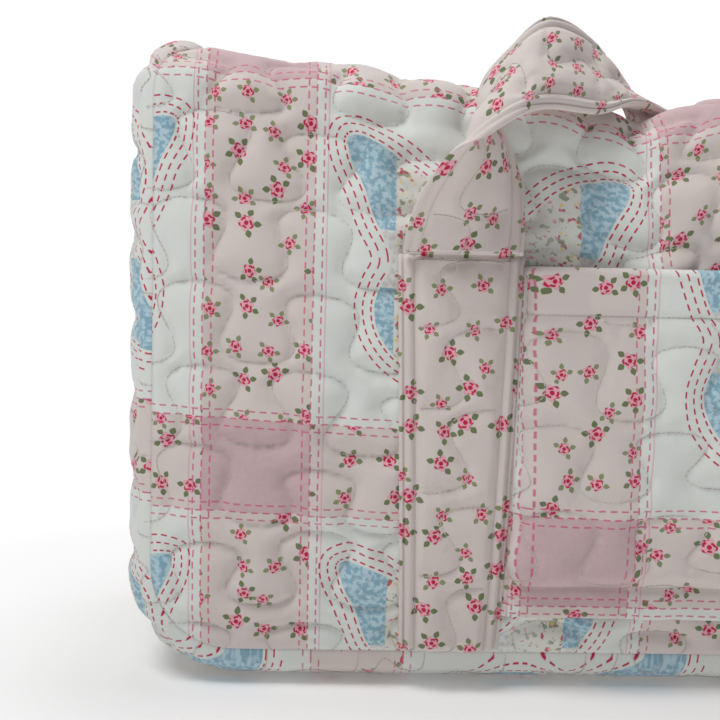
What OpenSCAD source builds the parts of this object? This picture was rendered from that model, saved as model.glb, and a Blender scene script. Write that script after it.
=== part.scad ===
// Quilted knitting bag with a recessed zip top, a front patch pocket and two carrying handles.
// The origin is on the floor under the middle of the bag. The pocket faces -Y, +X is to the
// right of someone who faces the pocket, and +Z is up. All sizes are in millimetres.

/* [Body] */
// Width between the two side seams
seam_w = 500; // [490:2:530]
// Depth between the front and the back seams
seam_d = 196; // [190:2:204]
// Height of the top corners
corner_h = 335; // [332:1:345]
// How far the top edge sinks in its middle
crest_sag = 33; // [30:1:40]
// Thickness of the quilted layers
wall_t = 6; // [5:0.5:7]
// How far the front and back panels swell
panel_crown = 13; // [10:1:13]
// How far the sides swell
side_bulge = 15; // [12:1:20]
// How far the base swells below its seams
base_drop = 21; // [20:1:23]
// Radius of the two bottom corners of a panel
corner_r = 45; // [42:1:50]
// Radius of the rolled top edge
roll_r = 25; // [24:0.5:26]

/* [Straps and handles] */
// Distance from the middle of the bag to the middle of a strap
strap_x = 92.5; // [88:0.5:96]
// Width of a sewn-down strap at its top
strap_top_w = 64; // [60:1:66]
// Width of a sewn-down strap at its bottom
strap_bottom_w = 52; // [48:1:56]
// Thickness of a strap or a handle
strap_t = 8; // [6:0.5:8]
// Width of a handle
handle_w = 60; // [56:1:62]
// Height of the seam where a handle leaves its straps
handle_seam_z = 235; // [233:1:237]

/* [Pocket] */
// Height of the pocket's bottom edge
pocket_bottom_z = 44; // [40:1:50]
// Height of the pocket's mouth
pocket_top_z = 226; // [215:1:227]
// Slack between the pocket and the panel behind it
pocket_slack = 8; // [8:0.5:9]
// Thickness of the pocket's cloth and wadding
pocket_t = 5; // [4:0.5:6]

/* [Zip] */
// Length of each zip flap
flap_l = 342; // [320:2:360]
// Thickness of a zip flap
flap_t = 3; // [2:0.5:3]
// Length of the slider
slider_l = 14; // [12:1:16]
// Length of the pull
pull_l = 22; // [18:1:22]

/* [Hidden] */
$fn = 48;

half_w = seam_w / 2;
half_d = seam_d / 2;
well_x = half_w - 34;
well_y = half_d - 2 * roll_r;
seam_gap = 0.2;
skin_gap = 0.4;
hinge_y = half_d + panel_crown + skin_gap + strap_t - 0.9;
strap_end_z = handle_seam_z - 9;

well_floor_z = 259;
facing_t = 3;
flap_z = well_floor_z + 0.4;
flap_hinge_y = well_y - 1.5;
flap_edge_y = 9;
tape_z = flap_z - 1;
tape_t = 0.8;
tape_w = 14;
coil_y = 1.6;
coil_w = 3;
coil_t = 2.4;
tab_x = flap_l / 2 + 1;
slider_x = flap_l / 2 + 15;
slider_w = 10;
pull_z = 264.9;

face_steps = 8;
corner_steps = 5;
roll_steps = 8;
panel_cols = 24;
gusset_side = [-1, -0.97, -0.9, -0.8, -0.7, -0.4, -0.15];
gusset_cols = concat(gusset_side, [for (i = [1:len(gusset_side)]) -gusset_side[len(gusset_side) - i]]);

// ---- Surfaces ----

// Height of the centre of the rolled top edge, for s from -1 at one corner to 1 at the other.
// It sags most in the middle, where the crest is a soft V
crest_soft = 0.02;
function crest_rise(s) = sqrt(sqrt(s * s + crest_soft * crest_soft)) - sqrt(crest_soft);
function roll_z(s) = corner_h - roll_r - crest_sag * (1 - crest_rise(s) / crest_rise(1));

// How much a panel swells at a share v of its height, and its outer face at a point
function swell(v) = 1 - pow(abs(2 * v - 1), 3);
function crown(x, v) = panel_crown * (1 - pow(x / half_w, 4)) * swell(v);
function height_share(x, z) = (z - base_drop) / (roll_z(x / half_w) - base_drop);
function face_y(x, z) = -(half_d + crown(x, height_share(x, z)));

// Rows up the face of a panel: its share of the height and its half width there
function corner_share() = corner_r / (roll_z(1) - base_drop);
function face_rows() = concat(
    [for (i = [0:corner_steps]) let (b = 90 * i / corner_steps)
        [corner_share() * (1 - cos(b)), half_w - corner_r * (1 - sin(b))]],
    [for (i = [1:face_steps]) [corner_share() + (1 - corner_share()) * i / face_steps, half_w]]
);
function roll_mix(phi) = (1 + cos(phi)) / 2;
function roll_half_w(phi) = well_x + (half_w - well_x) * roll_mix(phi);
function roll_angles() = [for (i = [1:roll_steps]) 180 * i / roll_steps];
function columns(n) = [for (i = [0:n]) 2 * i / n - 1];

// One skin of the front panel, inset by the depth t from its outer face
function panel_skin(t) = concat(
    [for (row = face_rows()) [for (s = columns(panel_cols))
        let (x = s * (row[1] - t - seam_gap), foot = base_drop + t + seam_gap)
        [x, t - half_d - crown(s * row[1], row[0]), foot + row[0] * (roll_z(s) - foot)]]],
    [for (phi = roll_angles()) [for (s = columns(panel_cols))
        [s * (roll_half_w(phi) - t * cos(phi) - seam_gap),
         roll_r - half_d - (roll_r - t) * cos(phi),
         roll_z(s) + (roll_r - t) * sin(phi)]]]
);

// Stations along the gusset, from the inside of the left roll down to the middle of the base:
// x, z, outward direction x and z, half depth, swelling, flatness
function gusset_half() = concat(
    [for (i = [0:roll_steps]) let (phi = 180 - 180 * i / roll_steps)
        [-roll_half_w(phi), roll_z(1) + roll_r * sin(phi), -cos(phi), sin(phi),
         roll_r * cos(phi), side_bulge * pow(roll_mix(phi), 2), 1]],
    [for (i = [1:face_steps])
        [-half_w, roll_z(1) - (roll_z(1) - base_drop - corner_r) * i / face_steps, -1, 0,
         roll_r, side_bulge, 1]],
    [for (i = [1:corner_steps]) let (b = 90 * i / corner_steps)
        [-half_w + corner_r * (1 - cos(b)), base_drop + corner_r * (1 - sin(b)), -cos(b), -sin(b),
         roll_r, side_bulge + (base_drop - side_bulge) * b / 90, 1 + 0.15 * b / 90]]
);
function turned(st) = [-st[0], st[1], -st[2], st[3], st[4], st[5], st[6]];
function gusset_stations() = let (half = gusset_half(), n = len(half)) concat(
    half,
    [[60, base_drop, 0, -1, roll_r, base_drop, 1.15]],
    [for (i = [1:n]) turned(half[n - i])]
);
function gusset_skin(t) = [for (st = gusset_stations())
    let (reach = half_d - roll_r + st[4] * (roll_r - t) / roll_r)
    [for (c = gusset_cols) let (out = st[5] * min(1, st[6] * sqrt(max(0, 1 - pow(c, 4)))) - t)
        [st[0] + st[2] * out, c * reach, st[1] + st[3] * out]]];

// ---- Solids made of such surfaces ----

// Two triangles for each four-sided face
function split(q) = [[q[0], q[1], q[2]], [q[0], q[2], q[3]]];

// Closed solid between an outer and an inner grid of points
module slab(outer, inner) {
    nr = len(outer);
    nc = len(outer[0]);
    k = nr * nc;
    cells = [for (i = [0:nr - 2], j = [0:nc - 2]) i * nc + j];
    top = (nr - 1) * nc;
    quads = concat(
        [for (a = cells) [a, a + nc, a + nc + 1, a + 1]],
        [for (a = cells) [k + a, k + a + 1, k + a + nc + 1, k + a + nc]],
        [for (j = [0:nc - 2]) [j, j + 1, k + j + 1, k + j]],
        [for (j = [top:top + nc - 2]) [j + 1, j, k + j, k + j + 1]],
        [for (i = [0:nr - 2]) let (a = i * nc) [a + nc, a, k + a, k + a + nc]],
        [for (i = [0:nr - 2]) let (c = i * nc + nc - 1) [c, c + nc, k + c + nc, k + c]]
    );
    polyhedron(
        points = concat([for (row = outer) each row], [for (row = inner) each row]),
        faces = [for (q = quads) each split(q)]
    );
}

// Closed solid through a list of rings that all have the same number of points
module loft(rings) {
    n = len(rings[0]);
    last = (len(rings) - 1) * n;
    sides = [for (i = [0:len(rings) - 2], j = [0:n - 1])
        let (a = i * n + j, b = i * n + (j + 1) % n) [a, a + n, b + n, b]];
    polyhedron(
        points = [for (ring = rings) each ring],
        faces = concat(
            [for (q = sides) each split(q)],
            [[for (j = [0:n - 1]) j]],
            [[for (j = [0:n - 1]) last + n - 1 - j]]
        )
    );
}

// ---- Body ----

module front_panel() {
    color("mistyrose") slab(panel_skin(0), panel_skin(wall_t));
}

module back_panel() {
    rotate([0, 0, 180]) front_panel();
}

module gusset() {
    color("seashell") slab(gusset_skin(0), gusset_skin(wall_t));
}

// The facing finishes the inside of the rolled edge down to the zip
function facing_top(x) = roll_z(x / well_x) - skin_gap;

module facing_front() {
    x_end = well_x - skin_gap;
    steps = [for (i = [0:panel_cols]) x_end - 2 * x_end * i / panel_cols];
    outline = concat(
        [[-x_end, well_floor_z], [x_end, well_floor_z]],
        [for (x = steps) [x, facing_top(x)]]
    );
    color("pink") translate([0, -well_y, 0]) rotate([90, 0, 0])
        linear_extrude(facing_t) polygon(outline);
}

module facing_back() {
    rotate([0, 0, 180]) facing_front();
}

module facing_right() {
    color("pink") translate([well_x, -well_y + skin_gap, well_floor_z])
        cube([facing_t, 2 * (well_y - skin_gap), roll_z(1) - skin_gap - well_floor_z]);
}

module facing_left() {
    mirror([1, 0, 0]) facing_right();
}

// ---- Inside ----

// Ring of a rounded rectangle at height z
lining_corner_pts = 7;
function ring(z, x, y, r) = [for (q = [0:3], i = [0:lining_corner_pts - 1])
    let (
        a = 90 * (q + i / (lining_corner_pts - 1)),
        cx = (q == 0 || q == 3 ? 1 : -1) * (x - r),
        cy = (q < 2 ? 1 : -1) * (y - r)
    )
    [cx + r * cos(a), cy + r * sin(a), z]];

// Height, half width, half depth and corner radius of the lining, from its floor to its mouth
lining_t = 1.5;
lining_rings = [
    [12.5, 198, 64, 34], [22, 214, 74, 34], [40, 228, 81, 34], [66, 240, 84, 34],
    [215, 240, 84, 34], [235, 234, 78, 30], [250, 220, 62, 20], [258.4, 215, 50, 8]
];

module lining() {
    outside = [for (k = lining_rings) ring(k[0], k[1], k[2], k[3])];
    inside = [for (i = [len(lining_rings) - 1:-1:0]) let (k = lining_rings[i])
        ring(k[0] + (i == 0 ? lining_t : 0), k[1] - lining_t, k[2] - lining_t, k[3])];
    color("antiquewhite") loft(concat(outside, inside));
}

module rounded_plate(w, d, r, t) {
    linear_extrude(t) {
        union() {
            square([w - 2 * r, d], center = true);
            square([w, d - 2 * r], center = true);
            for (x = [-1, 1], y = [-1, 1])
                translate([x * (w / 2 - r), y * (d / 2 - r)]) circle(r);
        }
    }
}

board_size = [388, 124];
board_t = 3;

module base_board() {
    color("dimgray") translate([0, 0, wall_t + skin_gap])
        rounded_plate(board_size[0], board_size[1], 20, board_t);
}

// ---- Pocket and straps, sewn to the faces of the panels ----

function strap_half_w(z) =
    (strap_bottom_w + (strap_top_w - strap_bottom_w) * (z - base_drop) / (strap_end_z - base_drop)) / 2;

function lerp(a, b, t) = a + (b - a) * t;

module strap() {
    z_low = base_drop + 3;
    nz = 16;
    nx = 4;
    function skin(t) = [for (i = [0:nz]) let (z = lerp(z_low, strap_end_z, i / nz))
        [for (c = columns(nx)) let (x = c * strap_half_w(z) - strap_x)
            [x, face_y(x, z) - skin_gap - t, z]]];
    color("linen") slab(skin(strap_t), skin(0));
}

module strap_front_left() {
    strap();
}

module strap_front_right() {
    mirror([1, 0, 0]) strap();
}

module strap_back_left() {
    mirror([0, 1, 0]) strap();
}

module strap_back_right() {
    rotate([0, 0, 180]) strap();
}

// The pocket stands off the panel in its middle and is flat along its sewn edges
pocket_flange = 19;
function ease(t) = let (c = min(1, max(0, t))) c * c * (3 - 2 * c);
function pocket_half_w(z) = strap_x - strap_half_w(z) - skin_gap;
function pocket_gap(c, z) = let (side = (1 - abs(c)) * pocket_half_w(z))
    pocket_slack * ease((side - 4) / 8) * ease((z - pocket_bottom_z - pocket_flange) / 10);

module front_pocket() {
    cols = [-1, -0.94, -0.89, -0.85, -0.81, -0.4, 0, 0.4, 0.81, 0.85, 0.89, 0.94, 1];
    rise = pocket_top_z - pocket_bottom_z;
    heights = concat([0, 10, pocket_flange, 22, 25, 29], [for (i = [1:6]) lerp(29, rise, i / 6)]);
    function skin(t) = [for (h = heights) let (z = pocket_bottom_z + h) [for (c = cols)
        let (x = c * pocket_half_w(z)) [x, face_y(x, z) - skin_gap - pocket_gap(c, z) - t, z]]];
    color("rosybrown") slab(skin(pocket_t), skin(0));
}

// ---- Handles ----

// Cubic curve through the points around index i
function curve(p, i, t) = let (
        n = len(p) - 1,
        a = p[max(0, i - 1)], b = p[i], c = p[min(n, i + 1)], d = p[min(n, i + 2)]
    )
    b + t * ((c - a) + t * ((2 * a - 5 * b + 4 * c - d) + t * (3 * b - a - 3 * c + d))) / 2;
function smooth(p, n) = concat(
    [for (i = [0:len(p) - 2], k = [0:n - 1]) curve(p, i, k / n)],
    [p[len(p) - 1]]
);
function unit(v) = v / norm(v);
function flip_x(v) = [-v[0], v[1], v[2]];
function both_sides(p) = concat(p, [for (i = [2:len(p)]) flip_x(p[len(p) - i])]);

// A flat padded ribbon along a line of middles, with the direction of its outer edge at each
module ribbon(mid, edge) {
    n = len(mid) - 1;
    rings = [for (i = [0:n]) let (
            along = mid[min(n, i + 1)] - mid[max(0, i - 1)],
            wide = unit(edge[i]) * handle_w / 2,
            thick = unit(cross(along, wide)) * strap_t / 2
        )
        [mid[i] + wide, mid[i] + 0.9 * wide + thick, mid[i] - 0.9 * wide + thick,
         mid[i] - wide, mid[i] - 0.9 * wide - thick, mid[i] + 0.9 * wide - thick]];
    loft([for (i = [0:n]) [for (k = [0:5]) rings[i][5 - k]]]);
}

ribbon_steps = 4;
handle_end = 3.5;

// Middles of the front handle and the directions of its outer edge, from the left leg to the
// right one: it rises from its seam, rolls forwards, drops into the top of the bag and returns
front_mids = [
    [-strap_x, -hinge_y, handle_seam_z - handle_end], [-strap_x, -hinge_y, handle_seam_z],
    [-90, -124, 258.5], [-86, -128.5, 281], [-86, -129.5, 300], [-70, -126, 317],
    [-53, -114, 327], [-27, -92, 325], [-1, -62, 318], [24, -26, 306], [51, -12, 296],
    [75, -53, 333], [88, -92, 339], [94, -115, 330], [97, -127, 308], [95, -127, 283],
    [93, -121, 258], [strap_x, -hinge_y, handle_seam_z],
    [strap_x, -hinge_y, handle_seam_z - handle_end]
];
front_edges = [
    [-1, 0, 0], [-1, 0, 0], [-0.91, -0.41, -0.05], [-0.58, -0.8, -0.1], [-0.1, -0.86, -0.45],
    [-0.06, -0.73, -0.67], [-0.06, -0.56, -0.83], [-0.03, -0.66, -0.75], [-0.1, -0.93, -0.25],
    [0, -0.97, 0.15], [-0.1, -0.97, 0.1], [-0.4, -0.9, -0.1], [-0.1, -0.6, -0.8],
    [0, -0.85, -0.5], [0.3, -0.9, 0], [0.7, -0.7, 0], [0.95, -0.3, 0], [1, 0, 0], [1, 0, 0]
];

module handle_front() {
    color("linen") ribbon(
        smooth(front_mids, ribbon_steps), smooth(front_edges, ribbon_steps));
}

// The back handle hangs down flat in a U outside its straps
hang_y = hinge_y + 11.5;
hang_r = 50;
hang_z = 155;
function hang_arc(a) = [-strap_x + hang_r * (1 - cos(a)), hang_y, hang_z - hang_r * sin(a)];
back_mids = concat(
    [[-strap_x, hinge_y - 3, handle_seam_z + 1.5], [-strap_x, hinge_y, handle_seam_z],
     [-strap_x, hinge_y + 7.5, handle_seam_z - 7], [-strap_x, hang_y, handle_seam_z - 24],
     [-strap_x, hang_y, 185]],
    [for (a = [0:30:90]) hang_arc(a)],
    [[0, hang_y, hang_z - hang_r]]
);
back_edges = concat(
    [for (i = [1:5]) [-30, 0, 0]],
    [for (a = [0:30:90]) [-30 * cos(a), 0, -30 * sin(a)]],
    [[0, 0, -30]]
);

module handle_back() {
    color("linen") ribbon(
        smooth(both_sides(back_mids), ribbon_steps), smooth(both_sides(back_edges), ribbon_steps));
}

// ---- Zip ----

module zip_flap_front() {
    color("pink") translate([-flap_l / 2, -flap_hinge_y, flap_z])
        cube([flap_l, flap_hinge_y - flap_edge_y, flap_t]);
}

module zip_flap_back() {
    mirror([0, 1, 0]) zip_flap_front();
}

module zip_tape_front() {
    color("white") translate([-flap_l / 2, -coil_y - tape_w, tape_z])
        cube([flap_l, tape_w, tape_t]);
}

module zip_tape_back() {
    mirror([0, 1, 0]) zip_tape_front();
}

module zip_coil_front() {
    color("gainsboro") translate([-flap_l / 2, -coil_y - coil_w, tape_z + tape_t])
        cube([flap_l, coil_w, coil_t]);
}

module zip_coil_back() {
    mirror([0, 1, 0]) zip_coil_front();
}

// A fixed tab closes the mouth beyond each end of the flaps and leaves room for the slider
module zip_tab_right() {
    slot_l = slider_l + 16;
    color("pink") difference() {
        translate([tab_x, -flap_hinge_y, flap_z])
            cube([well_x - skin_gap - tab_x, 2 * flap_hinge_y, flap_t]);
        translate([tab_x - 1, -flap_edge_y, flap_z - 1])
            cube([slot_l + 1, 2 * flap_edge_y, flap_t + 2]);
    }
}

module zip_tab_left() {
    mirror([1, 0, 0]) zip_tab_right();
}

// The ends of the tapes and coils, fixed under the tabs
module zip_end_right() {
    end_l = slider_l + 18;
    for (side = [0, 1]) mirror([0, side, 0]) color("white") union() {
        translate([tab_x, -coil_y - tape_w, tape_z]) cube([end_l, tape_w, tape_t]);
        translate([tab_x, -coil_y - coil_w, tape_z + tape_t - 0.1])
            cube([slider_l + 10, coil_w, coil_t + 0.1]);
    }
}

module zip_end_left() {
    mirror([1, 0, 0]) zip_end_right();
}

module zip_stops() {
    for (side = [-1, 1])
        color("silver") translate([side * (tab_x + slider_l + 12.5), 0, tape_z + tape_t + coil_t / 2])
            cube([2, 7, coil_t - 0.2], center = true);
}

// Two plates joined by a post that runs between the coils, with a bridge for the pull
plate_t = 1.2;
plate_z = tape_z + tape_t + coil_t + 0.3;
plate_low_z = tape_z - 0.6 - plate_t;
bridge_h = 3.6;
bridge_w = 3;
bridge_l = 8;

module zip_slider() {
    color("silver") translate([slider_x, 0, 0]) union() {
        translate([0, 0, plate_z]) rounded_plate(slider_l, slider_w, 3, plate_t);
        translate([0, 0, plate_low_z]) rounded_plate(slider_l, slider_w, 3, plate_t);
        translate([-2, -1.1, plate_low_z]) cube([4, 2.2, plate_z - plate_low_z + plate_t]);
        translate([0, bridge_w / 2, plate_z]) rotate([90, 0, 0]) linear_extrude(bridge_w)
            difference() {
                translate([-bridge_l / 2, 0]) square([bridge_l, bridge_h + plate_t]);
                translate([-bridge_l / 2 + 1, plate_t - 0.01]) square([bridge_l - 2, bridge_h - 1]);
            }
    }
}

// A bar under the bridge, two arms beside it and a rounded grip with a hole
pull_pin_r = 0.7;
pull_w = 7;
pull_t = 1.4;
arm_l = 6;

module zip_pull() {
    color("silver") translate([slider_x, 0, pull_z]) union() {
        rotate([90, 0, 0]) cylinder(r = pull_pin_r, h = pull_w, center = true);
        for (side = [-1, 1])
            translate([-arm_l, side * (pull_w - 1.4) / 2 - 0.7, -pull_pin_r]) cube([arm_l, 1.4, pull_t]);
        translate([-(pull_l + arm_l - 1) / 2, 0, -pull_pin_r]) difference() {
            rounded_plate(pull_l - arm_l + 1, pull_w, 2, pull_t);
            translate([-(pull_l - arm_l) / 2 + 4, 0, -1]) cylinder(r = 1.8, h = pull_t + 2);
        }
    }
}

front_panel();
back_panel();
gusset();
facing_front();
facing_back();
facing_left();
facing_right();
lining();
base_board();
front_pocket();
strap_front_left();
strap_front_right();
strap_back_left();
strap_back_right();
handle_front();
handle_back();
zip_flap_front();
zip_flap_back();
zip_tape_front();
zip_tape_back();
zip_coil_front();
zip_coil_back();
zip_tab_left();
zip_tab_right();
zip_end_left();
zip_end_right();
zip_stops();
zip_slider();
zip_pull();
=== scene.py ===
"""Looks of a quilted knitting bag: printed patchwork cotton, quilting, padded handles and a zip top."""
import logging
import math
import random
from dataclasses import dataclass, field
from enum import Enum
from typing import Callable

import bpy
import numpy as np
from mathutils import Matrix, Vector, kdtree


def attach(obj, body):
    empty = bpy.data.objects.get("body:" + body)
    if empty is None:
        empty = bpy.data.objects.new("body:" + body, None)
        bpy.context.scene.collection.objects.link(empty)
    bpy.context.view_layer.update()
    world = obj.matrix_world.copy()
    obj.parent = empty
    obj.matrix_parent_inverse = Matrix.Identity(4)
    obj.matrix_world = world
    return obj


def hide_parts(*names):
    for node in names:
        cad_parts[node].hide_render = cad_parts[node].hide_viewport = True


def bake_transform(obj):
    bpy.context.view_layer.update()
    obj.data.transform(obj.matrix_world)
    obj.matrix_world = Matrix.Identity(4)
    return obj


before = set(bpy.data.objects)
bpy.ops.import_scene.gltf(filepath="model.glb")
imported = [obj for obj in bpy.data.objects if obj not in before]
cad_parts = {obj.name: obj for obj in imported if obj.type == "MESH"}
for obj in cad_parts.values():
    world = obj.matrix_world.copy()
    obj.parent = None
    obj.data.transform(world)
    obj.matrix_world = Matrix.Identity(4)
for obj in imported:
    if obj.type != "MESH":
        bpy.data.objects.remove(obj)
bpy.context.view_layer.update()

MM = 0.001
LOG = logging.getLogger("knitting_bag")
Grid = np.ndarray
Colour = tuple[float, float, float, float]
Place = tuple[float, float, float]


class Finish(Enum):
    """The record's material slots."""

    PRINT = "quilted_print"
    FLORAL = "floral_cotton"
    PINK = "pink_cotton"
    LINING = "lining_cotton"
    TAPE = "zip_tape"
    COIL = "zip_coil"
    METAL = "zip_metal"
    BOARD = "board"


class Motif(Enum):
    """What is printed on a cotton."""

    PATCHWORK = "patchwork"
    ROSES = "roses"
    PLAIN = "plain"


def linear(red: float, green: float, blue: float) -> Colour:
    """Turns display colour shares into a linear colour.

    Args:
        red, green, blue: shares from 0 to 1 as a display shows them.

    Returns:
        The linear red, green, blue and an alpha of 1.
    """
    parts = [c / 12.92 if c <= 0.04045 else ((c + 0.055) / 1.055) ** 2.4 for c in (red, green, blue)]
    return (parts[0], parts[1], parts[2], 1.0)


def darker(colour: Colour, share: float) -> Colour:
    """The same colour with its light cut to a share."""
    return tuple(c * share for c in colour[:3]) + (1.0,)


def grey(level: float) -> Colour:
    """A linear grey."""
    return (level, level, level, 1.0)


WHITE_GROUND = linear(0.865, 0.885, 0.870)
FLORAL_GROUND = linear(0.83, 0.80, 0.78)
PINK_GROUND = linear(0.795, 0.700, 0.705)
PINK_DEEP = linear(0.775, 0.665, 0.675)
FLORAL_BLUSH = linear(0.86, 0.79, 0.78)
CRIMSON = linear(0.74, 0.10, 0.28)
LINE_PINK = linear(0.86, 0.48, 0.62)
ROSE_PINK = linear(0.90, 0.66, 0.71)
LEAF = linear(0.43, 0.48, 0.33)
LEAF_PALE = linear(0.54, 0.57, 0.42)
SKY = linear(0.72, 0.82, 0.86)
SKY_DEEP = linear(0.53, 0.68, 0.75)
CREAM = linear(0.87, 0.85, 0.81)
GREY_PINK = linear(0.80, 0.78, 0.77)
YELLOW = linear(0.90, 0.80, 0.42)
THREAD = linear(0.80, 0.77, 0.75)


# ---- Nodes -----------------------------------------------------------------------------------


@dataclass(frozen=True)
class Wire:
    """One value in a node tree, with arithmetic that adds Math nodes.

    Args:
        net: the tree's nodes.
        socket: the output that carries the value.
    """

    net: "Net"
    socket: bpy.types.NodeSocket

    def __add__(self, other: "Wire | float") -> "Wire":
        """The sum."""
        return self.net.math("ADD", self, other)

    def __sub__(self, other: "Wire | float") -> "Wire":
        """The difference."""
        return self.net.math("SUBTRACT", self, other)

    def __mul__(self, other: "Wire | float") -> "Wire":
        """The product."""
        return self.net.math("MULTIPLY", self, other)

    def __truediv__(self, other: "Wire | float") -> "Wire":
        """The quotient."""
        return self.net.math("DIVIDE", self, other)


class Net:
    """Adds nodes to a tree from short expressions."""

    def __init__(self, tree: bpy.types.NodeTree) -> None:
        """Keeps the tree that the nodes go into."""
        self.tree = tree

    def node(self, kind: str, **settings: object) -> bpy.types.Node:
        """Adds one node and sets its properties.

        Args:
            kind: Blender's name for the node.
            settings: its properties by name.

        Returns:
            The node.
        """
        new = self.tree.nodes.new(kind)
        for name, value in settings.items():
            setattr(new, name, value)
        return new

    def feed(self, socket: bpy.types.NodeSocket, value: object) -> None:
        """Links a wire to a socket, or sets the socket's own value.

        Args:
            socket: the input to feed.
            value: a wire, a plain value, or None to leave the socket alone.
        """
        if isinstance(value, Wire):
            self.tree.links.new(value.socket, socket)
        elif value is not None:
            socket.default_value = value

    def math(self, operation: str, *values: "Wire | float") -> Wire:
        """Adds a Math node.

        Args:
            operation: Blender's name for the operation.
            values: its inputs, in order.

        Returns:
            The result.
        """
        new = self.node("ShaderNodeMath", operation=operation)
        for socket, value in zip(new.inputs, values):
            self.feed(socket, value)
        return Wire(self, new.outputs[0])

    def below(self, value: Wire, edge: "Wire | float", soft: float) -> Wire:
        """Makes a mask that is 1 where a value is below an edge.

        Args:
            value: the value to test.
            edge: where the mask is half way.
            soft: width over which the mask fades.

        Returns:
            The mask.
        """
        new = self.node("ShaderNodeMath", operation="MULTIPLY_ADD", use_clamp=True)
        self.feed(new.inputs[0], self.math("SUBTRACT", edge, value))
        self.feed(new.inputs[1], 1.0 / soft)
        self.feed(new.inputs[2], 0.5)
        return Wire(self, new.outputs[0])

    def wrap(self, value: Wire, half: float) -> Wire:
        """Folds a value into the range from -half to half, again and again."""
        return value - self.math("ROUND", value / (2 * half)) * (2 * half)

    def mix(self, mask: "Wire | float", low: object, high: object) -> Wire:
        """Mixes two colours.

        Args:
            mask: 0 for the first colour, 1 for the second.
            low: the first colour.
            high: the second colour.

        Returns:
            The mixed colour.
        """
        new = self.node("ShaderNodeMix", data_type="RGBA")
        self.feed(new.inputs[0], mask)
        self.feed(new.inputs[6], low)
        self.feed(new.inputs[7], high)
        return Wire(self, new.outputs[2])

    def split(self, vector: Wire) -> tuple[Wire, Wire]:
        """Takes a vector apart.

        Args:
            vector: the vector.

        Returns:
            Its first two parts.
        """
        new = self.node("ShaderNodeSeparateXYZ")
        self.feed(new.inputs[0], vector)
        return Wire(self, new.outputs[0]), Wire(self, new.outputs[1])

    def noise(self, vector: Wire, scale: float, detail: float = 2.0) -> Wire:
        """Adds smooth noise.

        Args:
            vector: where the noise is read.
            scale: how fine it is.
            detail: how many finer layers it has.

        Returns:
            The noise, from 0 to 1.
        """
        new = self.node("ShaderNodeTexNoise")
        self.feed(new.inputs["Vector"], vector)
        self.feed(new.inputs["Scale"], scale)
        self.feed(new.inputs["Detail"], detail)
        return Wire(self, new.outputs["Fac"])

    def attribute(self, name: str) -> Wire:
        """A vector attribute of the piece."""
        return Wire(self, self.node("ShaderNodeAttribute", attribute_name=name).outputs["Vector"])

    def use(self, group: bpy.types.NodeTree, **values: object) -> dict[str, Wire]:
        """Places a node group.

        Args:
            group: the group's tree.
            values: its inputs by name.

        Returns:
            Its outputs by name.
        """
        new = self.node("ShaderNodeGroup", node_tree=group)
        for name, value in values.items():
            self.feed(new.inputs[name], value)
        return {out.name: Wire(self, out) for out in new.outputs}


def shader_group(name: str, inputs: dict[str, str], outputs: dict[str, str],
                 build: Callable[[Net, dict[str, Wire]], dict[str, Wire]]) -> bpy.types.NodeTree:
    """Makes a shader node group.

    Args:
        name: the group's name.
        inputs: each input's name and kind, Vector, Float or Color.
        outputs: each output's name and kind.
        build: adds the nodes and returns the wires to put out.

    Returns:
        The group's tree.
    """
    tree = bpy.data.node_groups.new(name, "ShaderNodeTree")
    for way, sockets in (("INPUT", inputs), ("OUTPUT", outputs)):
        for label, kind in sockets.items():
            tree.interface.new_socket(label, in_out=way, socket_type=f"NodeSocket{kind}")
    net = Net(tree)
    entry = net.node("NodeGroupInput")
    leave = net.node("NodeGroupOutput")
    results = build(net, {label: Wire(net, entry.outputs[label]) for label in inputs})
    for label, wire in results.items():
        net.feed(leave.inputs[label], wire)
    return tree


# ---- Printed motifs, all in millimetres of flat cloth ----------------------------------------

REPEAT = 232.0
RISE_REPEAT = 226.0
COLUMN_HALF = 28.0
BAND_HALF = 24.5
DASH_PITCH = 5.8
LINE_STEP = 4.2
ROSE_STEP = 19.0
YARN_PITCH = 0.55


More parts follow.
